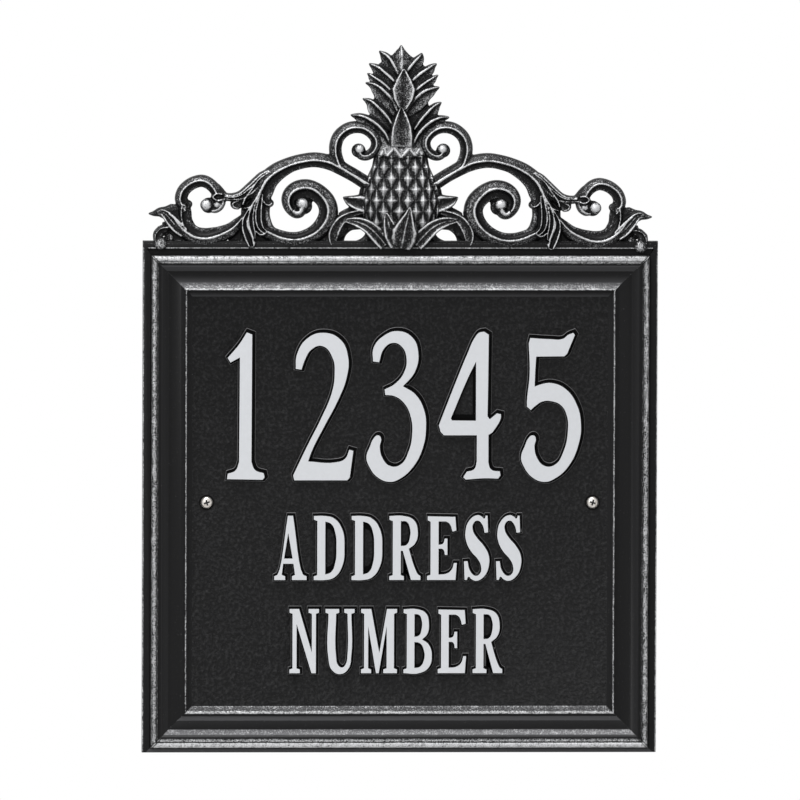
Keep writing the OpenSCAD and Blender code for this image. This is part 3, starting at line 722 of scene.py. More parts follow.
def buildFruit():
    bm = bmesh.new()
    bmesh.ops.create_grid(bm, x_segments=220, y_segments=230, size=1.0)
    z0, z1 = fruit["outline"][0][0], fruit["outline"][-1][0]
    # the grid is bent round the front: its x is the way round, its y the height
    for v in bm.verts:
        t = v.co.x
        z = z0 + (z1 - z0) * (v.co.y + 1) / 2
        half = tableValue(fruit["outline"], z)
        angle = t * math.pi / 2
        out = math.cos(angle) ** fruit["roundness"] if abs(t) < 1 else 0.0
        depth = tableValue(fruit["depth"], z) - fruit["edge"] - fruit["scaleRise"] * fruit["scaleSunk"]
        fade = min(1.0, out * fruit["sideFade"])
        fade *= min(1.0, max(0.0, (fruit["scalesEnd"] - z) / fruit["topFade"]))
        lift = scaleHeight(angle * half, z) * fruit["scaleRise"] * fade
        v.co = place((math.sin(angle) * (half + lift * fruit["scaleSpread"]), z + frameTop),
                     fruit["edge"] + depth * out + lift)
    rim = [e for e in bm.edges if e.is_boundary]
    made = bmesh.ops.extrude_edge_only(bm, edges=rim)["geom"]
    for v in made:
        if isinstance(v, bmesh.types.BMVert):
            v.co.y = -fruit["back"] * mm
    bmesh.ops.holes_fill(bm, edges=[e for e in bm.edges if e.is_boundary], sides=0)
    bmesh.ops.recalc_face_normals(bm, faces=bm.faces)
    for a, b in zip(fruit["zigzag"], fruit["zigzag"][1:]):
        middle = ((a[0] + b[0]) / 2, (a[1] + b[1]) / 2)
        bow = 1 - middle[0] ** 2 / fruit["zigzagBow"]
        half = fruit["zigzagHalf"]
        addBand(bm, outwards([a, middle, b], 1), half, half, fruit["zigzagRise"], ridged(0.4, 0.8),
                fruit["zigzagEdge"] * bow)
    obj = makePiece("fruit", bm, [paint["crest"]])
    paintRelief(obj, 0.8, 4, 9, 6, 30)
    # on the scales the silver follows the stars
    base, gain = fruit["starSilver"]
    middle, loss = fruit["sideSilver"]
    for v, item in zip(obj.data.vertices, obj.data.attributes["relief"].data):
        z = v.co.z / mm - frameTop
        half = tableValue(fruit["outline"], z)
        across = half * math.asin(max(-1.0, min(1.0, v.co.x / mm / half)))
        if z < fruit["starsEnd"]:
            star = max(item.value * fruit["reliefShare"], base + scaleHeight(across, z) * gain)
            item.value = star * min(1.0, middle - abs(across / half) * loss)
        elif z > fruit["rimFrom"]:
            item.value = max(item.value, fruit["rimSilver"])
    return obj


# Leaves round the foot of the fruit
foot = {
    "back": 0.7,
    "curled": [(-1, 0.2), (-0.5, 0.8), (0, 1), (0.08, 0.8), (0.2, 0.66), (0.45, 0.66), (0.56, 0.74),
               (0.64, 0.5), (0.8, 0.3), (1, 0.1)],
    # the skin behind the fruit: (height, half width)
    "skin": [(-4, 20), (4, 24), (12, 27), (20, 29), (28, 30), (36, 28.4), (44, 23.6), (52, 20), (60, 18.6),
             (68, 14.5)],
    # skins behind the leaves of one side: path, width to its left and to its right
    "skins": [
        ([(14, 20), (24, 21), (34, 21), (43, 18.4)], [4, 4, 3, 1], [6, 5, 4, 3]),
        ([(18, 13), (24, 13), (29, 12.1), (35.5, 11.2), (40.5, 7.5), (43, 3), (44, -3)], [5, 5, 5, 5, 4, 3],
         4.2),
        ([(34, -4), (27, -1.6), (22.8, 2), (21.6, 6), (23, 9), (26, 11)], 3, 3),
        ([(17, -4), (17, 2), (17, 8)], 4, 4),
    ],
}


def buildFoot():
    bm = bmesh.new()
    path, half = [(0, z) for z, _ in foot["skin"]], [width for _, width in foot["skin"]]
    addBand(bm, outwards(path, 1), half, half, 1.0, [(-1, 0), (-0.7, 1), (0.7, 1), (1, 0)], 4.0)
    for side in (-1, 1):
        c = CrestSide(bm, side)
        for path, left, right in foot["skins"]:
            c.band(path, left, right, roofSection, 1.0, 4.4)
        # the bract, the curled leaf and the long leaf, each in front of the last
        c.band([(25, 25), (29.5, 26.4), (33.4, 27.6), (37, 29), (40.2, 30.4)], [7, 6.4, 4.8, 2.8, 0.3],
               [6, 6, 5.2, 3.6, 0.3], flutedSection, [3.4, 3.6, 3.6, 3, 1.4], [6.4, 6.4, 6, 5.6, 5])
        c.band([(24, 21.2), (29, 21.2), (33.5, 20.4), (38.5, 18.9), (43.8, 15.9), (47.8, 10.8), (49.9, 5),
                (49.4, -0.3), (47.2, -4.8)], [0.6, 1.2, 1.4, 1.4, 1.4, 1.4, 1.3, 1.2, 0.6],
               [3, 4.6, 6, 8, 10, 11, 11, 9, 4], foot["curled"], [4, 5, 5.6, 6, 6.2, 6.2, 5.6, 4.6, 3],
               [4.6, 5, 5, 5, 5, 5, 5, 5, 5])
        c.rib([(10.5, -2.8), (14.5, 2.2), (18.5, 6.4), (23, 10.2), (28.8, 12.9), (35.5, 14.2), (42.2, 13.8)],
              [5.2, 5.8, 5.4, 4.7, 3.8, 2.2, 0.2], leafSection, [3.8, 4.2, 4.4, 4.4, 3.8, 2.8, 0.8],
              [7.5, 8.4, 9, 9, 8.4, 7.6, 7])
    # the two leaves in front of the fruit, one on the left and one in the middle
    CrestSide(bm, -1).rib([(3, -3), (6, 4), (8.8, 12), (11, 21)], [5, 6, 4, 0.2],
                          leafSection, [4, 4.4, 3.8, 2], [11, 13, 14.4, 15])
    CrestSide(bm, 1).rib([(0, -5), (1.2, 1), (2.2, 7), (3.4, 13), (4.8, 19), (5.8, 24.8)],
                         [6.4, 9, 9.2, 6.2, 2.9, 0.2], leafSection, [3.8, 5, 5, 4.4, 3.4, 2.2],
                         [9.5, 12.5, 14.6, 16, 17.6, 18.4])
    moveBack(bm, foot["back"])
    obj = makePiece("footLeaves", bm, [paint["crest"]])
    remeshPiece(obj, crown["voxel"], 1)
    paintRelief(obj, 0.8, 6.0, 9.5, base=0.57)
    return obj


# Frame: every ring of its section is one step of an extrusion, given as (inset from the edge, height)
body = {
    "half": 180.0,
    "foot": -175.0,
    "top": 183.0,
    "flange": 5.5,
    "strip": 4.2,       # extra depth of the flange along the top
    "footDrop": 2.4,    # how much narrower the flange is along the foot
    "bead": (8.1, 11.4, 2.1),       # inset and height of its middle, and its radius
    "innerBead": (30.1, 10.3, 0.7),
    "cove": ((17.2, 8.4), (29.4, 10.3), 13),   # its two ends and its radius
    "panel": 6.5,
    # groove along the top strip: half its length and its height on the wall, at its upper and its lower edge
    "grooveUpper": (177.5, 177.5),
    "grooveLower": (174.0, 172.9),
    "grooveFloor": 5.5,
    # the back: width of the rim, depth of the hollow behind the panel and behind the mouldings, and how far
    # in from the edges the deeper hollow goes
    "rim": 5.0,
    "panelHollow": 2.5,
    "mouldingHollow": 3.8,
    "hollowInner": 34.7,
    "hollowTop": 178.4,   # the hollow behind the top mouldings starts hollowInner below this height
    # radius of the boss, the spot face and the hole, and the boss's depth
    "boss": 8.5,
    "spotFace": 5.45,
    "hole": 2.5,
    "bossDeep": 5,
    # cutters start this far in front of the wall and end this far behind it
    "clear": 12,
    "past": 4,
}


def arcPoints(a, b, r, count):
    # points from a to b on the circle of radius r whose middle is on the left of the way
    a, b = Vector(a), Vector(b)
    half = (b - a) / 2
    across = Vector((-half.y, half.x)).normalized()
    c = a + half + across * math.sqrt(max(r * r - half.length_squared, 0))
    u, w = a - c, b - c
    turn = math.atan2(u.x * w.y - u.y * w.x, u.dot(w))
    out = []
    for k in range(count + 1):
        t = turn * k / count
        out.append((c.x + u.x * math.cos(t) - u.y * math.sin(t), c.y + u.x * math.sin(t) + u.y * math.cos(t)))
    return out


def beadPoints(inset, height, r, pieces, first=0):
    # over a bead from its outer side to its inner side
    turns = [k * math.pi / pieces for k in range(first, pieces + 1)]
    return [(inset - r * math.cos(t), height + r * math.sin(t)) for t in turns]


def frameSteps():
    steps = [(0, 0), (0, 7.5), (0.25, 8.2), (0.9, 8.5), (5.3, 8.5), (5.5, 8.3), (5.5, 7.3), (6.0, 7.3)]
    steps += beadPoints(*body["bead"], 14)
    steps += [(10.2, 12.7), (10.35, 12.85), (10.95, 12.85), (11.1, 12.7), (11.1, 12.1), (11.2, 12),
              (13.6, 12), (13.9, 11.8)]
    steps += arcPoints(*body["cove"], 18)
    steps += beadPoints(*body["innerBead"], 8, 1)
    steps += [(30.8, 9.3), (31.0, 9.1), (32.4, 8.2), (32.6, 7.8), (34.6, 6.6), (34.8, 6.5)]
    return steps


def ringCorner(x, z, inset):
    low = body["foot"] + inset - body["footDrop"] * min(1.0, inset / body["flange"])
    high = body["top"] - inset - (body["strip"] if inset >= body["flange"] - 0.3 else 0)
    return (math.copysign(body["half"] - inset, x), high if z > 0 else low)


def boxCutter(low, high):
    bm = bmesh.new()
    bmesh.ops.create_cube(bm, size=1)
    middle, size = (Vector(low) + Vector(high)) / 2, Vector(high) - Vector(low)
    for v in bm.verts:
        v.co = Vector([middle[k] + v.co[k] * size[k] for k in range(3)]) * mm
    return makePiece("cutter", bm, [])


def cut(obj, cutter, operation="DIFFERENCE"):
    m = obj.modifiers.new("cut", "BOOLEAN")
    m.object, m.solver, m.operation = cutter, "EXACT", operation
    applyModifiers(obj)
    bpy.data.objects.remove(cutter)


def roundCutter(x, r, y0, y1, slot=0):
    bm = bmesh.new()
    bmesh.ops.create_cone(bm, cap_ends=True, segments=48, radius1=r * mm, radius2=r * mm,
                          depth=(y1 - y0) * mm)
    for f in bm.faces:
        f.material_index = slot
    bmesh.ops.rotate(bm, verts=bm.verts, matrix=Matrix.Rotation(math.pi / 2, 3, "X"))
    bmesh.ops.translate(bm, verts=bm.verts, vec=(x * mm, (y0 + y1) / 2 * mm, 0))
    return makePiece("cutter", bm, [])


def buildFrame():
    bm = bmesh.new()
    bmesh.ops.create_grid(bm, x_segments=1, y_segments=1, size=1)
    bmesh.ops.rotate(bm, verts=bm.verts, matrix=Matrix.Rotation(math.pi / 2, 3, "X"))
    steps = frameSteps()
    face = list(bm.faces)[0]
    signs = [(v.co.x, v.co.z) for v in face.verts]
    for v, (x, z) in zip(face.verts, signs):
        v.co = place(ringCorner(x, z, 0), steps[0][1])
    for i, (inset, height) in enumerate(steps[1:]):
        face = pushFace(bm, face, [place(ringCorner(x, z, inset), height) for x, z in signs], i == 0)
    bmesh.ops.recalc_face_normals(bm, faces=bm.faces)
    face.material_index = 1
    obj = makePiece("frameCasting", bm, [paint["frame"], paint["field"], paint["seat"]])
    cutGroove(obj)
    hollowBack(obj)
    # a boss behind each hole, and in front of it a spot face painted darker than the field: painted shade
    # round the screw head
    for x in (-screw["at"], screw["at"]):
        cut(obj, roundCutter(x, body["boss"], -body["bossDeep"], 0), "UNION")
        cut(obj, roundCutter(x, body["spotFace"], -body["clear"], -screw["seat"], 2))
        cut(obj, roundCutter(x, body["hole"], -body["clear"], body["past"]))
    return obj


def cutGroove(obj):
    # its ends are splayed along the mitres
    groove = bmesh.new()
    bmesh.ops.create_cube(groove, size=1)
    for v in groove.verts:
        half, z = body["grooveUpper"] if v.co.z > 0 else body["grooveLower"]
        v.co = place((math.copysign(half, v.co.x), z), body["grooveFloor"] if v.co.y > 0 else body["clear"])
    cut(obj, makePiece("cutter", groove, []))


def hollowBack(obj):
    rim, inner, past = body["rim"], body["hollowInner"], body["past"]
    left, right = rim - body["half"], body["half"] - rim
    low, high = body["foot"] + rim, body["top"] - rim
    shallow, deep = -body["panelHollow"], -body["mouldingHollow"]
    cut(obj, boxCutter((left, shallow, low), (right, past, high)))
    # behind the mouldings: left, right, foot and top, the last two running a little into the first two
    side = body["half"] - inner
    for start, end in [((left, deep, low), (-side, past, high)), ((side, deep, low), (right, past, high)),
                       ((-side - 1, deep, low), (side + 1, past, body["foot"] + inner)),
                       ((-side - 1, deep, body["hollowTop"] - inner), (side + 1, past, high))]:
        cut(obj, boxCutter(start, end))


# How the frame is rubbed, and where light is painted on it, as (millimetres in from an edge, level), along
# its sides, its foot and its top. Silver on the beads, the inner ridge and the arrises is wear; the extra
# silver on the foot's up-facing slope and chamfer and on the upward lower part of the top's cove is painted
# highlight from above
frameWearAndLight = {
    "silverSide": [(0, 0.86), (0.7, 0.7), (1.2, 0.12), (5.6, 0.14), (6.2, 0.62), (8.0, 0.84), (10.2, 0.62),
                   (11.0, 0.40), (11.6, 0.05), (29.6, 0.05), (30.0, 0.78), (30.7, 0.78), (31.1, 0.05),
                   (34.4, 0.05), (34.8, 0.28), (35.2, 0.0)],
    "silverFoot": [(0, 0.3), (5.2, 0.15), (5.7, 0.86), (9.2, 0.98), (9.8, 0.3), (10.5, 0.8), (12.0, 0.72),
                   (12.5, 0.1), (14.6, 0.2), (15.4, 0.66), (18.2, 0.66), (18.9, 0.05), (29.4, 0.05),
                   (29.8, 0.88), (31.0, 0.80), (31.8, 0.54), (34.2, 0.6), (35.0, 0.8), (35.6, 0.0)],
    "silverTop": [(0, 0.2), (5.6, 0.2), (6.2, 0.80), (8.4, 0.99), (11.0, 0.74), (11.8, 0.34), (12.4, 0.04),
                  (24.2, 0.05), (25.4, 0.56), (28.0, 0.74), (28.5, 0.45), (29.0, 0.85), (29.8, 0.8),
                  (30.3, 0.05), (34.4, 0.05), (34.8, 0.28), (35.2, 0.0)],
    # the smooth grey on the faces between: painted sheen, lighter where faces look up to the light and on the
    # top's downward slope, which would mirror the bright floor
    "sheenGreySide": [(0, 0.0), (12.6, 0.0), (13.4, 0.035), (18.0, 0.025), (18.4, 0.0), (20.0, 0.0), (20.6, 0.005),
                 (29.0, 0.01), (31.2, 0.015), (40, 0.0)],
    "sheenGreyFoot": [(0, 0.10), (4.8, 0.24), (5.4, 0.0), (12.5, 0.02), (14.6, 0.1), (15.2, 0.6), (18.2, 0.6),
                 (18.8, 0.0), (24.6, 0.07), (25.0, 0.34), (27.6, 0.30), (28.1, 0.0), (31.4, 0.1),
                 (35.4, 0.26), (37.0, 0.06), (40, 0.0)],
    "sheenGreyTop": [(0, 0.0), (12.2, 0.0), (13.0, 0.20), (16.6, 0.17), (17.0, 0.0), (20.0, 0.02), (24.4, 0.18),
                (25.0, 0.4), (28.8, 0.4), (29.8, 0.0), (32.0, 0.02), (34.4, 0.18), (35.0, 0.0), (40, 0.0)],
    "reach": 40.0,           # the last place of the rows above
    "wobble": 0.5,           # how far the rows waver, in millimetres
    "mitre": 0.50,           # silver along the mitres
    "mitreGap": 0.75,        # share that a dark line where the beads meet takes away
    "rightEdge": 0.85,       # silver along the right edge's lower part, and how far in it goes
    "rightEdgeIn": 1.35,
    "lip": 0.98,             # silver on the lip of the groove along the top
    "front": (5.6, 6.4),     # heights between which the wear starts, so that the back stays plain
    "strength": 0.86,
}


def framePaint():
    p = Paint("framePaint")
    x, y, z = (p.node("SeparateXYZ", inputs={"Vector": p.node("TexCoord", output="Object")}, output=axis)
               for axis in ("X", "Y", "Z"))
    front = (y / -mm).step(*frameWearAndLight["front"])
    reach = frameWearAndLight["reach"]
    wobble = (p.noise(9.0, 2.0) - 0.5) * frameWearAndLight["wobble"]
    # how far in from each edge, as the section's insets
    inSide = (body["half"] * mm - x.size()) / mm
    inFoot = (z + (-body["foot"] + body["footDrop"]) * mm) / mm
    inTop = ((body["top"] - body["strip"]) * mm - z) / mm

    def ramp(d, stops):
        shares = [(at / reach, level) for at, level in stops]
        return p.node("ValToRGB", {"stops": shares}, {"Fac": (d + wobble) / reach})

    def byEdge(kind):
        # the nearest edge's ramp, with a narrow blend along the mitres
        a = ramp(inSide, frameWearAndLight[kind + "Side"])
        b = ramp(inFoot, frameWearAndLight[kind + "Foot"])
        c = ramp(inTop, frameWearAndLight[kind + "Top"])
        nearFoot, nearTop = ((inSide - d).step(-0.05, 0.05) for d in (inFoot, inTop))
        return a + (b - a) * nearFoot + (c - a) * nearTop

    def line(d, half):
        # 1 in the middle of a line, 0 from half its width on
        return (1 - d.size() / half).clamped()

    # silver: wear plus painted highlights on faces turned up to the light; the grey: painted sheen
    level, sheenGrey = byEdge("silver"), byEdge("sheenGrey")
    # worn lines along the mitres, and a dark one where the beads meet
    nearest = inSide.least(inFoot).least(inTop)
    off = (inSide - inFoot).size().least((inSide - inTop).size())
    mitre = line(off, 0.5) * (31.0 - nearest).step(0, 2) * (nearest - 11).step(0, 1)
    gap = line(off - 0.9, 0.6) * (12.5 - nearest).step(0, 1) * (nearest - 5.5).step(0, 0.5)
    level = level.most(mitre * frameWearAndLight["mitre"]) * (1 - gap * frameWearAndLight["mitreGap"])
    # the right edge, rubbed more and more towards the foot
    edge = (1 - inSide / frameWearAndLight["rightEdgeIn"] + wobble * 0.8).step(0, 0.4)
    lowerRight = x.step(0.1, 0.11) * (0.15 - z).step(0, 0.2)
    level = level.most(edge * lowerRight * frameWearAndLight["rightEdge"])
    # over the flange along the top: the lip of the groove, and thin worn lines behind the scrolls
    strip = (-1 * inTop).step(-5.6, -5.2) * (inSide - 3).step(0, 1)
    lip = line(inTop - 0.6, 0.8).most(line(inTop + 2.4, 0.45) * 0.55).most(line(inTop + 4.3, 0.5) * 0.7)
    level = level + (lip * frameWearAndLight["lip"] - level) * strip
    return rubbedSilver(p, level * front * frameWearAndLight["strength"] + 0.04, sheenGrey * front)


# Raised figures and letters. Outlines are in millimetres; a third value marks a corner, the rest are smooth
glyphs = {
    "1": [[(0, 0.8, 1), (0.5, 4.6, 1), (5.8, 6.8), (8.4, 12.8, 1), (8.8, 86, 1), (2.2, 82.4, 1),
           (0.2, 85.6, 1), (8.2, 95), (13.6, 103.4, 1), (17.3, 102, 1), (17.0, 12.8, 1), (19.6, 7.2),
           (25.6, 5, 1), (26.2, 2, 1), (24.8, 0.4, 1)]],
    "2": [[(1.8, 78, 1), (2.6, 88), (10, 99.4), (21, 103.2), (33, 98.4), (38.4, 86), (37.4, 72), (31.4, 56),
           (22, 38), (13.4, 21), (10.6, 13.2, 1), (30, 12.6), (36.4, 15), (39.4, 21.4, 1), (42.2, 20.6, 1),
           (39.8, 2, 1), (38, 0, 1), (1, 0, 1), (0.2, 3.4, 1), (10, 24), (20, 44), (27, 61), (29, 74),
           (27.4, 86), (20.2, 94), (12.6, 91.4), (8.4, 84.8), (5.8, 77.4, 1)]],
    "3": [[(4.4, 82, 1), (4.8, 91.6), (12, 100), (21.4, 103.2), (31.6, 99), (36, 88), (33.6, 74.6),
           (25.4, 64.6, 1), (34, 59), (40.2, 48), (41.6, 36), (39.4, 21.5), (32.8, 8.4), (23.6, 0),
           (16.6, -2.3), (7.9, 0.9), (1.8, 8.8), (0, 14.9), (2.6, 22.8), (5.3, 28.5), (7.9, 30.3), (10, 28.6),
           (9.3, 22), (11.4, 14), (16.6, 8.8), (23.6, 9.6), (29.6, 19.3), (32, 32), (31, 43), (26.6, 52.4),
           (19.8, 57.6), (13, 58.6, 1), (12.6, 62.4, 1), (19.4, 66), (26, 74), (27.8, 84.4), (24.4, 92.4),
           (18.4, 95), (12.2, 91.2), (8.6, 81.4, 1)]],
    "4": [[(31.5, 104, 1), (34.7, 101.9, 1), (34.3, 63), (34, 44.8, 1), (35.6, 42.7, 1), (40.6, 46.9, 1),
           (43.4, 46.2, 1), (43.2, 43.2), (37.6, 33.6, 1), (34.7, 31.7, 1), (34.7, 12.4, 1), (36.6, 7.6),
           (42.8, 6.2, 1), (43.2, 3.4, 1), (41.6, 1.2, 1), (31.5, 1.4), (18.9, 0.5, 1), (17.2, 2.1, 1),
           (19.6, 6, 1), (24.9, 7.9), (26.6, 13.3, 1), (26.6, 31.5, 1), (3.5, 31.5, 1), (1.2, 34, 1),
           (0, 38.5, 1), (10.5, 65.6), (20.1, 89.3), (24.9, 99.8), (28, 103.3)],
          [(25.9, 83.1, 1), (25.9, 41.7, 1), (9.1, 41.9, 1), (8.4, 43.4, 1), (21, 73.3)]],
    "5": [[(6.1, 98.4, 1), (20, 97.6), (28.9, 97.8), (32.7, 100.6), (36.2, 102, 1), (37.3, 100.5, 1),
           (32, 87.5, 1), (29.9, 85.6, 1), (10.3, 85.4, 1), (9.6, 73.5), (9.3, 64.4, 1), (14.9, 66.3),
           (21, 66.9), (30.6, 63), (38.5, 52.5), (41.8, 38.5), (40.3, 24.5), (33.3, 8.8), (23.6, 0),
           (16.6, -2.3), (7.9, 0.9), (1.8, 8.8), (0, 14.9), (2.6, 22.8), (5.3, 28.5), (7.9, 30.3), (10, 28.9),
           (9.3, 22.4), (11.4, 14), (16.6, 8.8), (23.6, 9.6), (29.8, 19.3), (32.7, 33.3), (32, 43.8),
           (28, 51.2), (21, 54.2), (14.9, 54.0), (10.5, 51.4), (6.7, 48, 1), (4, 50.4, 1), (4, 54.3),
           (5.8, 73.5), (5.1, 94.5, 1)]],
    "A": [[(9.2, 45, 1), (12.8, 45, 1), (19.8, 4), (22.4, 2.6, 1), (22.4, 0, 1), (12.2, 0, 1), (12.2, 2.6, 1),
           (14.3, 3.6, 1), (13.2, 11.4, 1), (6, 11.4, 1), (5, 3.6, 1), (7.4, 2.6, 1), (7.4, 0, 1),
           (-0.2, 0, 1), (-0.2, 2.6, 1), (2.2, 4)], [(9.5, 33, 1), (12.6, 15, 1), (6.6, 15, 1)]],
    "B": [[(0, 44.8, 1), (10, 44.8), (16.4, 42), (18.6, 34.6), (17.4, 27.4), (13.6, 23.6, 1), (18.4, 20.2),
           (20.8, 12.5), (18.4, 3.8), (11.5, 0), (0, 0, 1), (0, 2.6, 1), (2.4, 3.4, 1), (2.4, 41.4, 1),
           (0, 42.2, 1)], [(8, 41.4, 1), (8, 25.4, 1), (11.4, 26.4), (13.3, 31), (13.2, 37.5), (11.4, 40.8)],
          [(8, 21.8, 1), (8, 3.6, 1), (12, 4.4), (15, 9), (15, 16), (12, 21)]],
    "D": [[(0, 44.8, 1), (8, 44.8), (14, 43.2), (19.6, 36), (21.4, 22.5), (19.6, 9), (14, 1.6), (8, 0),
           (0, 0, 1), (0, 2.6, 1), (2.4, 3.4, 1), (2.4, 41.4, 1), (0, 42.2, 1)],
          [(8, 41, 1), (8, 3.8, 1), (12.2, 5.6), (15, 12), (15.8, 22.5), (15, 33), (12.2, 39.2)]],
    "E": [[(0, 44.6, 1), (19.3, 44.2, 1), (20, 34.7, 1), (17.4, 33.8, 1), (15.2, 39.4), (12.8, 41, 1),
           (7.6, 41, 1), (7.6, 24.6, 1), (10.6, 25.4), (11.9, 29, 1), (13.8, 29, 1), (13.8, 17.5, 1),
           (12.1, 17.5, 1), (10.8, 21.4), (7.6, 22, 1), (7.6, 3.8, 1), (13, 4.4), (16.6, 6.9),
           (18.4, 11.9, 1), (20.4, 11.9, 1), (19.5, 0, 1), (-0.4, 0, 1), (-0.4, 2.8, 1), (2, 3.6, 1),
           (2, 40.8, 1), (0, 41.8, 1)]],
    "M": [[(0, 45, 1), (7.4, 45, 1), (13.4, 14, 1), (19, 45, 1), (26.4, 45, 1), (26.4, 42.4, 1),
           (24.2, 41.6, 1), (24.2, 3.4, 1), (26.4, 2.6, 1), (26.4, 0, 1), (16.4, 0, 1), (16.4, 2.6, 1),
           (18.8, 3.4, 1), (18.8, 33, 1), (13, 0, 1), (11, 0, 1), (5.2, 33, 1), (5.2, 3.4, 1), (7.4, 2.6, 1),
           (7.4, 0, 1), (0, 0, 1), (0, 2.6, 1), (2.2, 3.4, 1), (2.2, 41.6, 1), (0, 42.4, 1)]],
    "N": [[(0, 45, 1), (7, 45, 1), (16.4, 14.5, 1), (16.4, 41.6, 1), (14, 42.4, 1), (14, 45, 1),
           (21.6, 45, 1), (21.6, 42.4, 1), (19.4, 41.6, 1), (19.4, 0, 1), (16.2, 0, 1), (5.2, 34.5, 1),
           (5.2, 3.4, 1), (7.6, 2.6, 1), (7.6, 0, 1), (0, 0, 1), (0, 2.6, 1), (2.2, 3.4, 1), (2.2, 41.6, 1),
           (0, 42.4, 1)]],
    "R": [[(0, 44.8, 1), (10, 44.8), (17, 42), (19.8, 34.4), (18.2, 26), (13.6, 21.8, 1), (18.4, 7),
           (20.2, 3.8), (21.8, 2.8, 1), (21.8, 0, 1), (15.2, 0, 1), (9.4, 20.4, 1), (8, 20.4, 1), (8, 3.4, 1),
           (10.2, 2.6, 1), (10.2, 0, 1), (0, 0, 1), (0, 2.6, 1), (2.4, 3.4, 1), (2.4, 41.2, 1), (0, 42.2, 1)],
          [(8, 41.2, 1), (8, 23.8, 1), (12, 24.6), (14.4, 30), (14.2, 37), (12, 40.8)]],
    "S": [[(16.4, 45, 1), (16.8, 33.4, 1), (14.4, 33, 1), (12.8, 38.6), (9.4, 41.6), (6.4, 39.4), (6.2, 34.6),
           (9, 29.6), (13.8, 24), (17.2, 17.5), (17.4, 10), (14.2, 2.6), (8.8, -0.6), (5.2, 0.6), (3.2, 2.2),
           (2, 0, 1), (0.5, 0, 1), (0, 13, 1), (2.5, 13.2, 1), (4.3, 6.4), (8.2, 2.9), (11.4, 4.7), (12, 9.4),
           (9.8, 14.4), (5, 20), (1.7, 26.5), (1, 34), (3.8, 41.8), (9.2, 45.4), (12.4, 44.4), (14.2, 43),
           (15.1, 45, 1)]],
    "U": [[(0, 45, 1), (10, 45, 1), (10, 42.4, 1), (7.8, 41.6, 1), (7.8, 12), (9.4, 5.6), (12.4, 4),
           (15, 6.4), (16.2, 12.5), (16.2, 41.6, 1), (13.8, 42.4, 1), (13.8, 45, 1), (21.4, 45, 1),
           (21.4, 42.4, 1), (19, 41.6, 1), (19, 12), (16.8, 3), (11.2, -0.6), (5.2, 1.8), (2.2, 10.5),
           (2.2, 41.6, 1), (0, 42.4, 1)]],
}
wording = {
    # each figure, its left side and the height of its foot
    "numerals": [("1", -121.0, 15.8), ("2", -75.0, 15.8), ("3", -23.6, 17.0), ("4", 27.0, 15.8),
                 ("5", 84.6, 17.0)],
    # each word, its left end, its right end and the height of its foot
    "upper": ("ADDRESS", -87.6, 84.7, -54.0),
    "lower": ("NUMBER", -77.0, 71.9, -119.3),
    "gap": 4.6,           # least gap between letters
    "face": 10.0,         # height of the faces above the wall
    "flank": 0.8,         # how far the sides lean out
    "toes": (1.7, 1.25),  # width of the low step round the figures and round the letters, its top painted shade
    "toeRise": 0.45,
    "toeFlank": 0.35,
    "shadeShift": (0.47, 0.35),  # how far the step and its painted shade lie to the right and up, as a share of its width, so the band reads as a shadow
    "bare": 0.72,         # share of an opening in a figure that stays bare plate
    "bareFlank": 0.1,
    "bareAbove": 0.1,     # height of the bare plate above the step
}


def glyphCurve(name, outlines, x, z, squeeze, offset, bevel):
    curve = bpy.data.curves.new(name, "CURVE")
    curve.dimensions, curve.fill_mode = "2D", "BOTH"
    curve.resolution_u = 6
    curve.bevel_depth, curve.bevel_resolution, curve.offset = bevel * mm, 0, offset * mm
    for outline in outlines:
        spline = curve.splines.new("BEZIER")
        spline.bezier_points.add(len(outline) - 1)
        spline.use_cyclic_u = True
        for point, given in zip(spline.bezier_points, outline):
            point.co = ((x + given[0] * squeeze) * mm, (z + given[1]) * mm, 0)
            point.handle_left_type = point.handle_right_type = "VECTOR" if len(given) > 2 else "AUTO"
    return bpy.data.objects.new(name, curve)


def shrunk(outline, share):
    # the outline drawn in towards its middle
    middle = [sum(point[k] for point in outline) / len(outline) for k in (0, 1)]
    return [tuple(m + (v - m) * share for m, v in zip(middle, point)) + tuple(point[2:]) for point in outline]


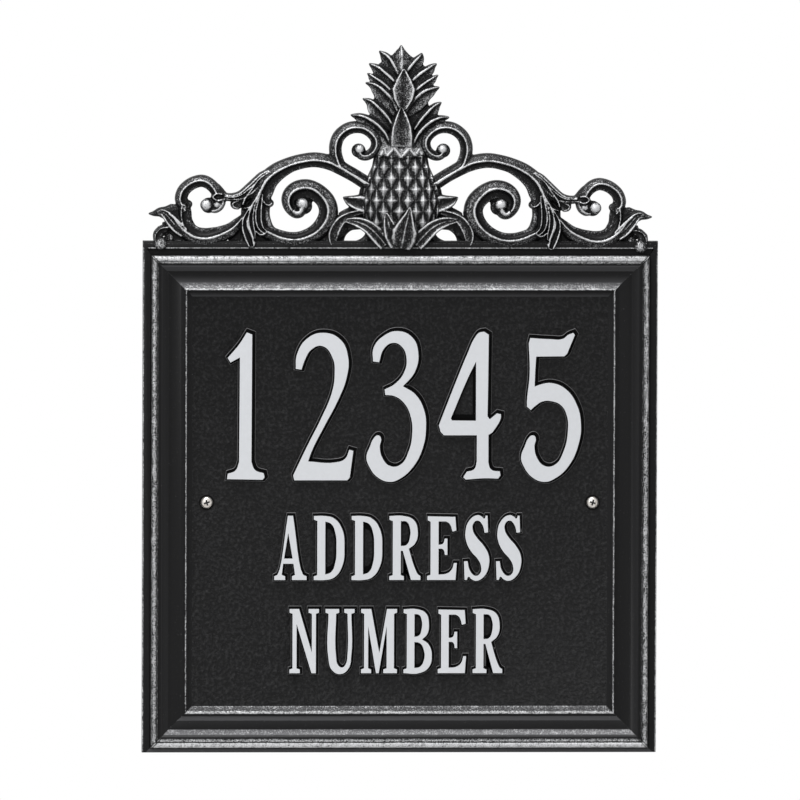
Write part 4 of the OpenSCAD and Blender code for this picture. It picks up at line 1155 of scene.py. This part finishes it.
def buildLetters(name, placed, toe):
    bm = bmesh.new()
    # each figure stands on a low step whose top is painted shade, lying a little to its right and up so that
    # it reads as the figure's shadow, and inside a figure the plate stays bare
    for letter, x, z, squeeze in placed:
        outlines = glyphs[letter]
        bare = [shrunk(outline, wording["bare"]) for outline in outlines[1:]]
        right, up = x + toe * wording["shadeShift"][0], z + toe * wording["shadeShift"][1]
        # outlines, place, offset, how far the sides lean out, height, paint of the top and of the sides
        layers = [(outlines, x, z, 0, wording["flank"], wording["face"] - body["panel"], 0, 1),
                  (outlines[:1], right, up, toe, wording["toeFlank"], wording["toeRise"], 1, 2)]
        if bare:
            rise = wording["toeRise"] + wording["bareAbove"]
            layers.append((bare, x, z, 0, wording["bareFlank"], rise, 3, 3))
        for shapes, x0, z0, offset, bevel, rise, top, flank in layers:
            obj = glyphCurve(name, shapes, x0, z0, squeeze, offset, bevel)
            bpy.context.scene.collection.objects.link(obj)
            graph = bpy.context.evaluated_depsgraph_get()
            mesh = bpy.data.meshes.new_from_object(obj.evaluated_get(graph))
            bpy.data.objects.remove(obj)
            part = bmesh.new()
            part.from_mesh(mesh)
            bpy.data.meshes.remove(mesh)
            bmesh.ops.remove_doubles(part, verts=part.verts, dist=0.01 * mm)
            for v in part.verts:
                v.co = (v.co.x, -body["panel"] * mm - v.co.z * rise / bevel, v.co.y)
            bmesh.ops.recalc_face_normals(part, faces=part.faces)
            if part.calc_volume(signed=True) < 0:
                bmesh.ops.reverse_faces(part, faces=part.faces)
            for f in part.faces:
                f.material_index = top if f.normal.y < -0.9 else flank
            fuseInto(bm, part)
    return makePiece(name, bm, [paint["letters"], paint["shade"], paint["toeLine"], paint["field"]])


def letterRow(text, x0, x1, z):
    # spreads a word between its two ends, and squeezes its letters where they need it
    widths = [max(p[0] for p in glyphs[c][0]) for c in text]
    squeeze = min(1.0, (x1 - x0 - wording["gap"] * (len(text) - 1)) / sum(widths))
    gap = (x1 - x0 - sum(widths) * squeeze) / (len(text) - 1)
    placed = []
    for c, w in zip(text, widths):
        placed.append((c, x0, z, squeeze))
        x0 += w * squeeze + gap
    return placed


# Black paint over the fine grain of a sand mould, with painted glints: the grain's raised spots are painted
# lighter
field = {
    "grain": (2.3, 4.0, 0.62),
    "pits": (7.0, 2.0, 0.6),
    "proud": (0.028, 0.028, 0.029, 1),   # painted glint: lighter grey on what stands proud in the grain, for the light it would catch
    "contrast": 3.4,
    "rough": 0.42,
    "bump": 0.9,
}


def fieldPaint():
    p = Paint("fieldPaint")
    grain, pits = p.noise(*field["grain"]), p.noise(*field["pits"])
    # the mask paints glints on the grain's raised spots
    mask = ((grain - 0.47) * field["contrast"]).clamped() * (0.35 + pits * 1.1)
    return p.feed(color=p.blend(mask, casting["black"], field["proud"]), specular=casting["specular"],
                  roughness=(grain - 0.5) * 0.5 + field["rough"],
                  normal=p.bump(grain + pits * 0.7, field["bump"]))


def plainPaint(name, level, specular):
    # one plain grey
    p = Paint(name)
    return p.feed(color=(level, level, level * 1.02, 1), roughness=0.5, specular=specular)


lettering = {"grain": (3.0, 3.0, 0.6), "dull": (0.555, 0.567, 0.587, 1), "bright": (0.61, 0.625, 0.65, 1)}


def letterPaint():
    p = Paint("letterPaint")
    grain = p.noise(*lettering["grain"])
    return p.feed(color=p.blend(grain, lettering["dull"], lettering["bright"]), roughness=0.45, specular=0.4,
                  normal=p.bump(grain, 0.05))


# Screws
screw = {
    "at": 135.0,      # to each side of the middle
    "head": 4.15,
    "seat": 5.7,      # height of the spot face under the head
    "neck": 1.9,
    "shank": 2.1,
    "root": 1.55,     # radius between the threads
    "pitch": 1.8,
    "threadFrom": 0.3,   # behind the wall's face, and grown to its full height after threadGrows
    "threadGrows": 0.6,
    "threadSharp": 5,
    "end": 32.3,
    "point": 5.0,     # its length
    "tip": 0.12,
    "inHead": 0.3,    # how far the shank goes into the head
    # the cross recess: length and width of an arm above the head and at its floor, and the height of both
    "crossTop": (4.7, 1.3),
    "crossFloor": (2.8, 0.9),
    "crossTopAt": 3.6,
    "crossFloorAt": 1.1,
    "turn": 0.3,      # how far each cross is turned, in opposite ways, in radians
}


steel = {"grain": (0.6, 2.0, 0.5), "dirt": (1.6, 2.0, 0.6), "soiled": (0.42, 0.38, 0.34, 1),
         "clean": (0.72, 0.71, 0.69, 1), "metal": 0.85, "rough": 0.28}


def steelPaint():
    p = Paint("steelPaint")
    clean = p.noise(*steel["dirt"]).step(0.3, 0.7)
    return p.feed(color=p.blend(clean, steel["soiled"], steel["clean"]), metallic=steel["metal"],
                  roughness=p.noise(*steel["grain"]) * 0.15 + steel["rough"])


def cutCross(obj):
    for turn in (0, math.pi / 2):
        arm = bmesh.new()
        bmesh.ops.create_cube(arm, size=1)
        for v in arm.verts:
            end = "crossFloor" if v.co.y > 0 else "crossTop"
            length, width = screw[end]
            v.co = Vector((v.co.x * length, -(screw["seat"] + screw[end + "At"]), v.co.z * width)) * mm
        # the arms' faces take the dark recess paint: painted shade in the cross
        for f in arm.faces:
            f.material_index = 1
        bmesh.ops.rotate(arm, verts=arm.verts, matrix=Matrix.Rotation(turn, 3, "Y"))
        cut(obj, makePiece("cutter", arm, []))


def addShank(bm):
    # a grid rolled into a tube: its x is the turn, its y the way along, and its thread follows the turn
    tube = bmesh.new()
    bmesh.ops.create_grid(tube, x_segments=24, y_segments=300, size=1)
    start = -(screw["seat"] + screw["inHead"])
    for v in tube.verts:
        turn = (v.co.x + 1) / 2
        y = start + (v.co.y + 1) / 2 * (screw["end"] - start)
        phase = (y / screw["pitch"] - turn) % 1
        thread = max(0.0, 1 - abs(phase - 0.5) * screw["threadSharp"])
        thread *= min(1.0, max(0.0, (y - screw["threadFrom"]) / screw["threadGrows"]))
        r = screw["neck"] if y < 0.02 else screw["root"] + (screw["shank"] - screw["root"]) * thread
        r = min(r, max(screw["tip"], (screw["end"] - y) / screw["point"] * screw["shank"]))
        v.co = Vector((r * math.cos(turn * 2 * math.pi), y, r * math.sin(turn * 2 * math.pi))) * mm
    bmesh.ops.remove_doubles(tube, verts=tube.verts, dist=0.004 * mm)
    bmesh.ops.holes_fill(tube, edges=[e for e in tube.edges if e.is_boundary], sides=0)
    bmesh.ops.recalc_face_normals(tube, faces=tube.faces)
    fuseInto(bm, tube)


def buildScrew(side, name):
    seat, head = screw["seat"], screw["head"]
    bm = bmesh.new()
    # head: half its section, spun about the screw's axis
    rows = [(0, 0), (head - 0.1, 0), (head, 0.12), (head, 0.75), (head - 0.12, 1.2), (3.6, 2.0), (2.9, 2.55),
            (2.0, 2.86), (1.0, 2.98), (0, 3.0)]
    verts = [bm.verts.new((r * mm, -(seat + h) * mm, 0)) for r, h in rows]
    edges = [bm.edges.new(pair) for pair in zip(verts, verts[1:])]
    bmesh.ops.spin(bm, geom=verts + edges, cent=(0, 0, 0), axis=(0, 1, 0), angle=2 * math.pi, steps=56,
                   use_merge=True, use_duplicate=False)
    bmesh.ops.remove_doubles(bm, verts=bm.verts, dist=0.003 * mm)
    bmesh.ops.recalc_face_normals(bm, faces=bm.faces)
    obj = makePiece(name, bm, [paint["steel"], paint["recess"]])
    cutCross(obj)
    bm = bmesh.new()
    bm.from_mesh(obj.data)
    addShank(bm)
    bmesh.ops.rotate(bm, verts=bm.verts, matrix=Matrix.Rotation(screw["turn"] * side, 3, "Y"))
    bmesh.ops.translate(bm, verts=bm.verts, vec=(side * screw["at"] * mm, 0, 0))
    bm.to_mesh(obj.data)
    bm.free()
    return obj


sharpAngle = 28  # degrees; flatter edges are shaded smooth


def finishSharp(obj):
    finishPiece(obj)
    bm = bmesh.new()
    bm.from_mesh(obj.data)
    for e in bm.edges:
        e.smooth = len(e.link_faces) == 2 and e.calc_face_angle(0) < math.radians(sharpAngle)
    bm.to_mesh(obj.data)
    bm.free()
    return obj


paint = {
    "crest": crestPaint(),
    "frame": framePaint(),
    "field": fieldPaint(),
    "letters": letterPaint(),
    "steel": steelPaint(),
    "shade": plainPaint("shadePaint", 0.0015, 0.04),
    "toeLine": plainPaint("toeLinePaint", 0.09, 0.4),
    # the screws' cross recesses: painted shade
    "recess": plainPaint("recessPaint", 0.07, 0.2),
    # spot faces under the screw heads: painted shade
    "seat": plainPaint("seatShadePaint", 0.0035, 0.08),
}
castFrame = finishSharp(buildFrame())
print("frame made")
scrollsRight = finishPiece(buildScrolls(1, "scrollsRight"))
finishPiece(buildScrolls(-1, "scrollsLeft"))
print("scrolls made", len(scrollsRight.data.polygons))
crownLeaves = finishPiece(buildCrown())
footLeaves = finishPiece(buildFoot())
finishPiece(buildFruit())
print("fruit and leaves made", len(crownLeaves.data.polygons), len(footLeaves.data.polygons))
wideToe, narrowToe = wording["toes"]
finishSharp(buildLetters("numerals", [(c, x, z, 1.0) for c, x, z in wording["numerals"]], wideToe))
finishSharp(buildLetters("wordUpper", letterRow(*wording["upper"]), narrowToe))
finishSharp(buildLetters("wordLower", letterRow(*wording["lower"]), narrowToe))
print("letters made")
screwLeft = finishSharp(buildScrew(-1, "screwLeft"))
finishSharp(buildScrew(1, "screwRight"))
print("screws made")
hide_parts("plaque")
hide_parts("mounting_screws")


# Camera, lights and floor
view = {
    "pixel": 0.6985,       # millimetres on the wall for one of the photograph's pixels
    "frame": 800,
    "wallRow": 502.9,      # the photograph's row of the screw line
    "distance": 12000.0,
    "turn": -3.0,          # degrees round from the front, less than 0 to the left
    "rise": 3.5,
    "roll": 0.19,
    "middle": (-0.15, 8),  # what the picture's middle shows: across the wall, and out from it
    "sensor": 36,
}
# Lamps: place, what they point at, size in metres and power
lamps = {
    "overhead": ((-0.3, -0.55, 1.7), (0, 0, 0.1), 0.8, 34),
    "front": ((-1.3, -2.6, 1.5), (0, 0, 0.05), 1.2, 40),
}
surroundings = {
    "seen": 1.0,           # strength of the white that the camera and reflections see
    "light": 0.35,         # strength of the light that it casts
    "floorRadius": 0.62,
    "floorAt": -0.30,
    "floorLevel": 0.86,
}


def setCamera():
    camera = bpy.data.objects.new("camera", bpy.data.cameras.new("camera"))
    bpy.context.scene.collection.objects.link(camera)
    across, out = view["middle"]
    aim = place((across, (view["wallRow"] - view["frame"] / 2) * view["pixel"]), out)
    az, el = math.radians(view["turn"]), math.radians(view["rise"])
    away = Vector((math.sin(az) * math.cos(el), -math.cos(az) * math.cos(el), math.sin(el)))
    camera.location = aim + away * view["distance"] * mm
    turned = (-away).to_track_quat("-Z", "Y") @ Quaternion((0, 0, 1), math.radians(view["roll"]))
    camera.rotation_euler = turned.to_euler()
    camera.data.sensor_width = view["sensor"]
    camera.data.lens = view["sensor"] * view["distance"] / (view["frame"] * view["pixel"])
    bpy.context.scene.camera = camera


def addLight(name, at, target, size, power):
    light = bpy.data.lights.new(name, "AREA")
    light.shape = "RECTANGLE"
    light.size = light.size_y = size
    light.energy = power
    lamp = bpy.data.objects.new(name, light)
    bpy.context.scene.collection.objects.link(lamp)
    lamp.location = at
    lamp.rotation_euler = (Vector(target) - Vector(at)).to_track_quat("-Z", "Y").to_euler()


def setWorld():
    world = bpy.data.worlds.new("studio")
    bpy.context.scene.world = world
    world.use_nodes = True
    world.node_tree.nodes.clear()
    sky = Nodes(world.node_tree)
    camera, glossy, clear = (sky.node("LightPath", output="Is " + kind + " Ray")
                             for kind in ("Camera", "Glossy", "Transmission"))
    light = surroundings["light"]
    strength = camera.most(glossy).most(clear) * (surroundings["seen"] - light) + light
    back = sky.node("Background", inputs={"Color": (1, 1, 1, 1), "Strength": strength})
    sky.node("OutputWorld", inputs={"Surface": back})


def setStudio():
    for name, values in lamps.items():
        addLight(name, *values)
    setWorld()
    bm = bmesh.new()
    bmesh.ops.create_circle(bm, cap_ends=True, segments=96, radius=surroundings["floorRadius"])
    bmesh.ops.translate(bm, verts=bm.verts, vec=(0, 0, surroundings["floorAt"]))
    p = Paint("floorPaint")
    level = surroundings["floorLevel"]
    p.feed(color=(level, level, level, 1), roughness=0.7, specular=0.2)
    makePiece("floor", bm, [p.material])
    bpy.context.scene.view_settings.view_transform = "Standard"


setCamera()
setStudio()
print("studio set")
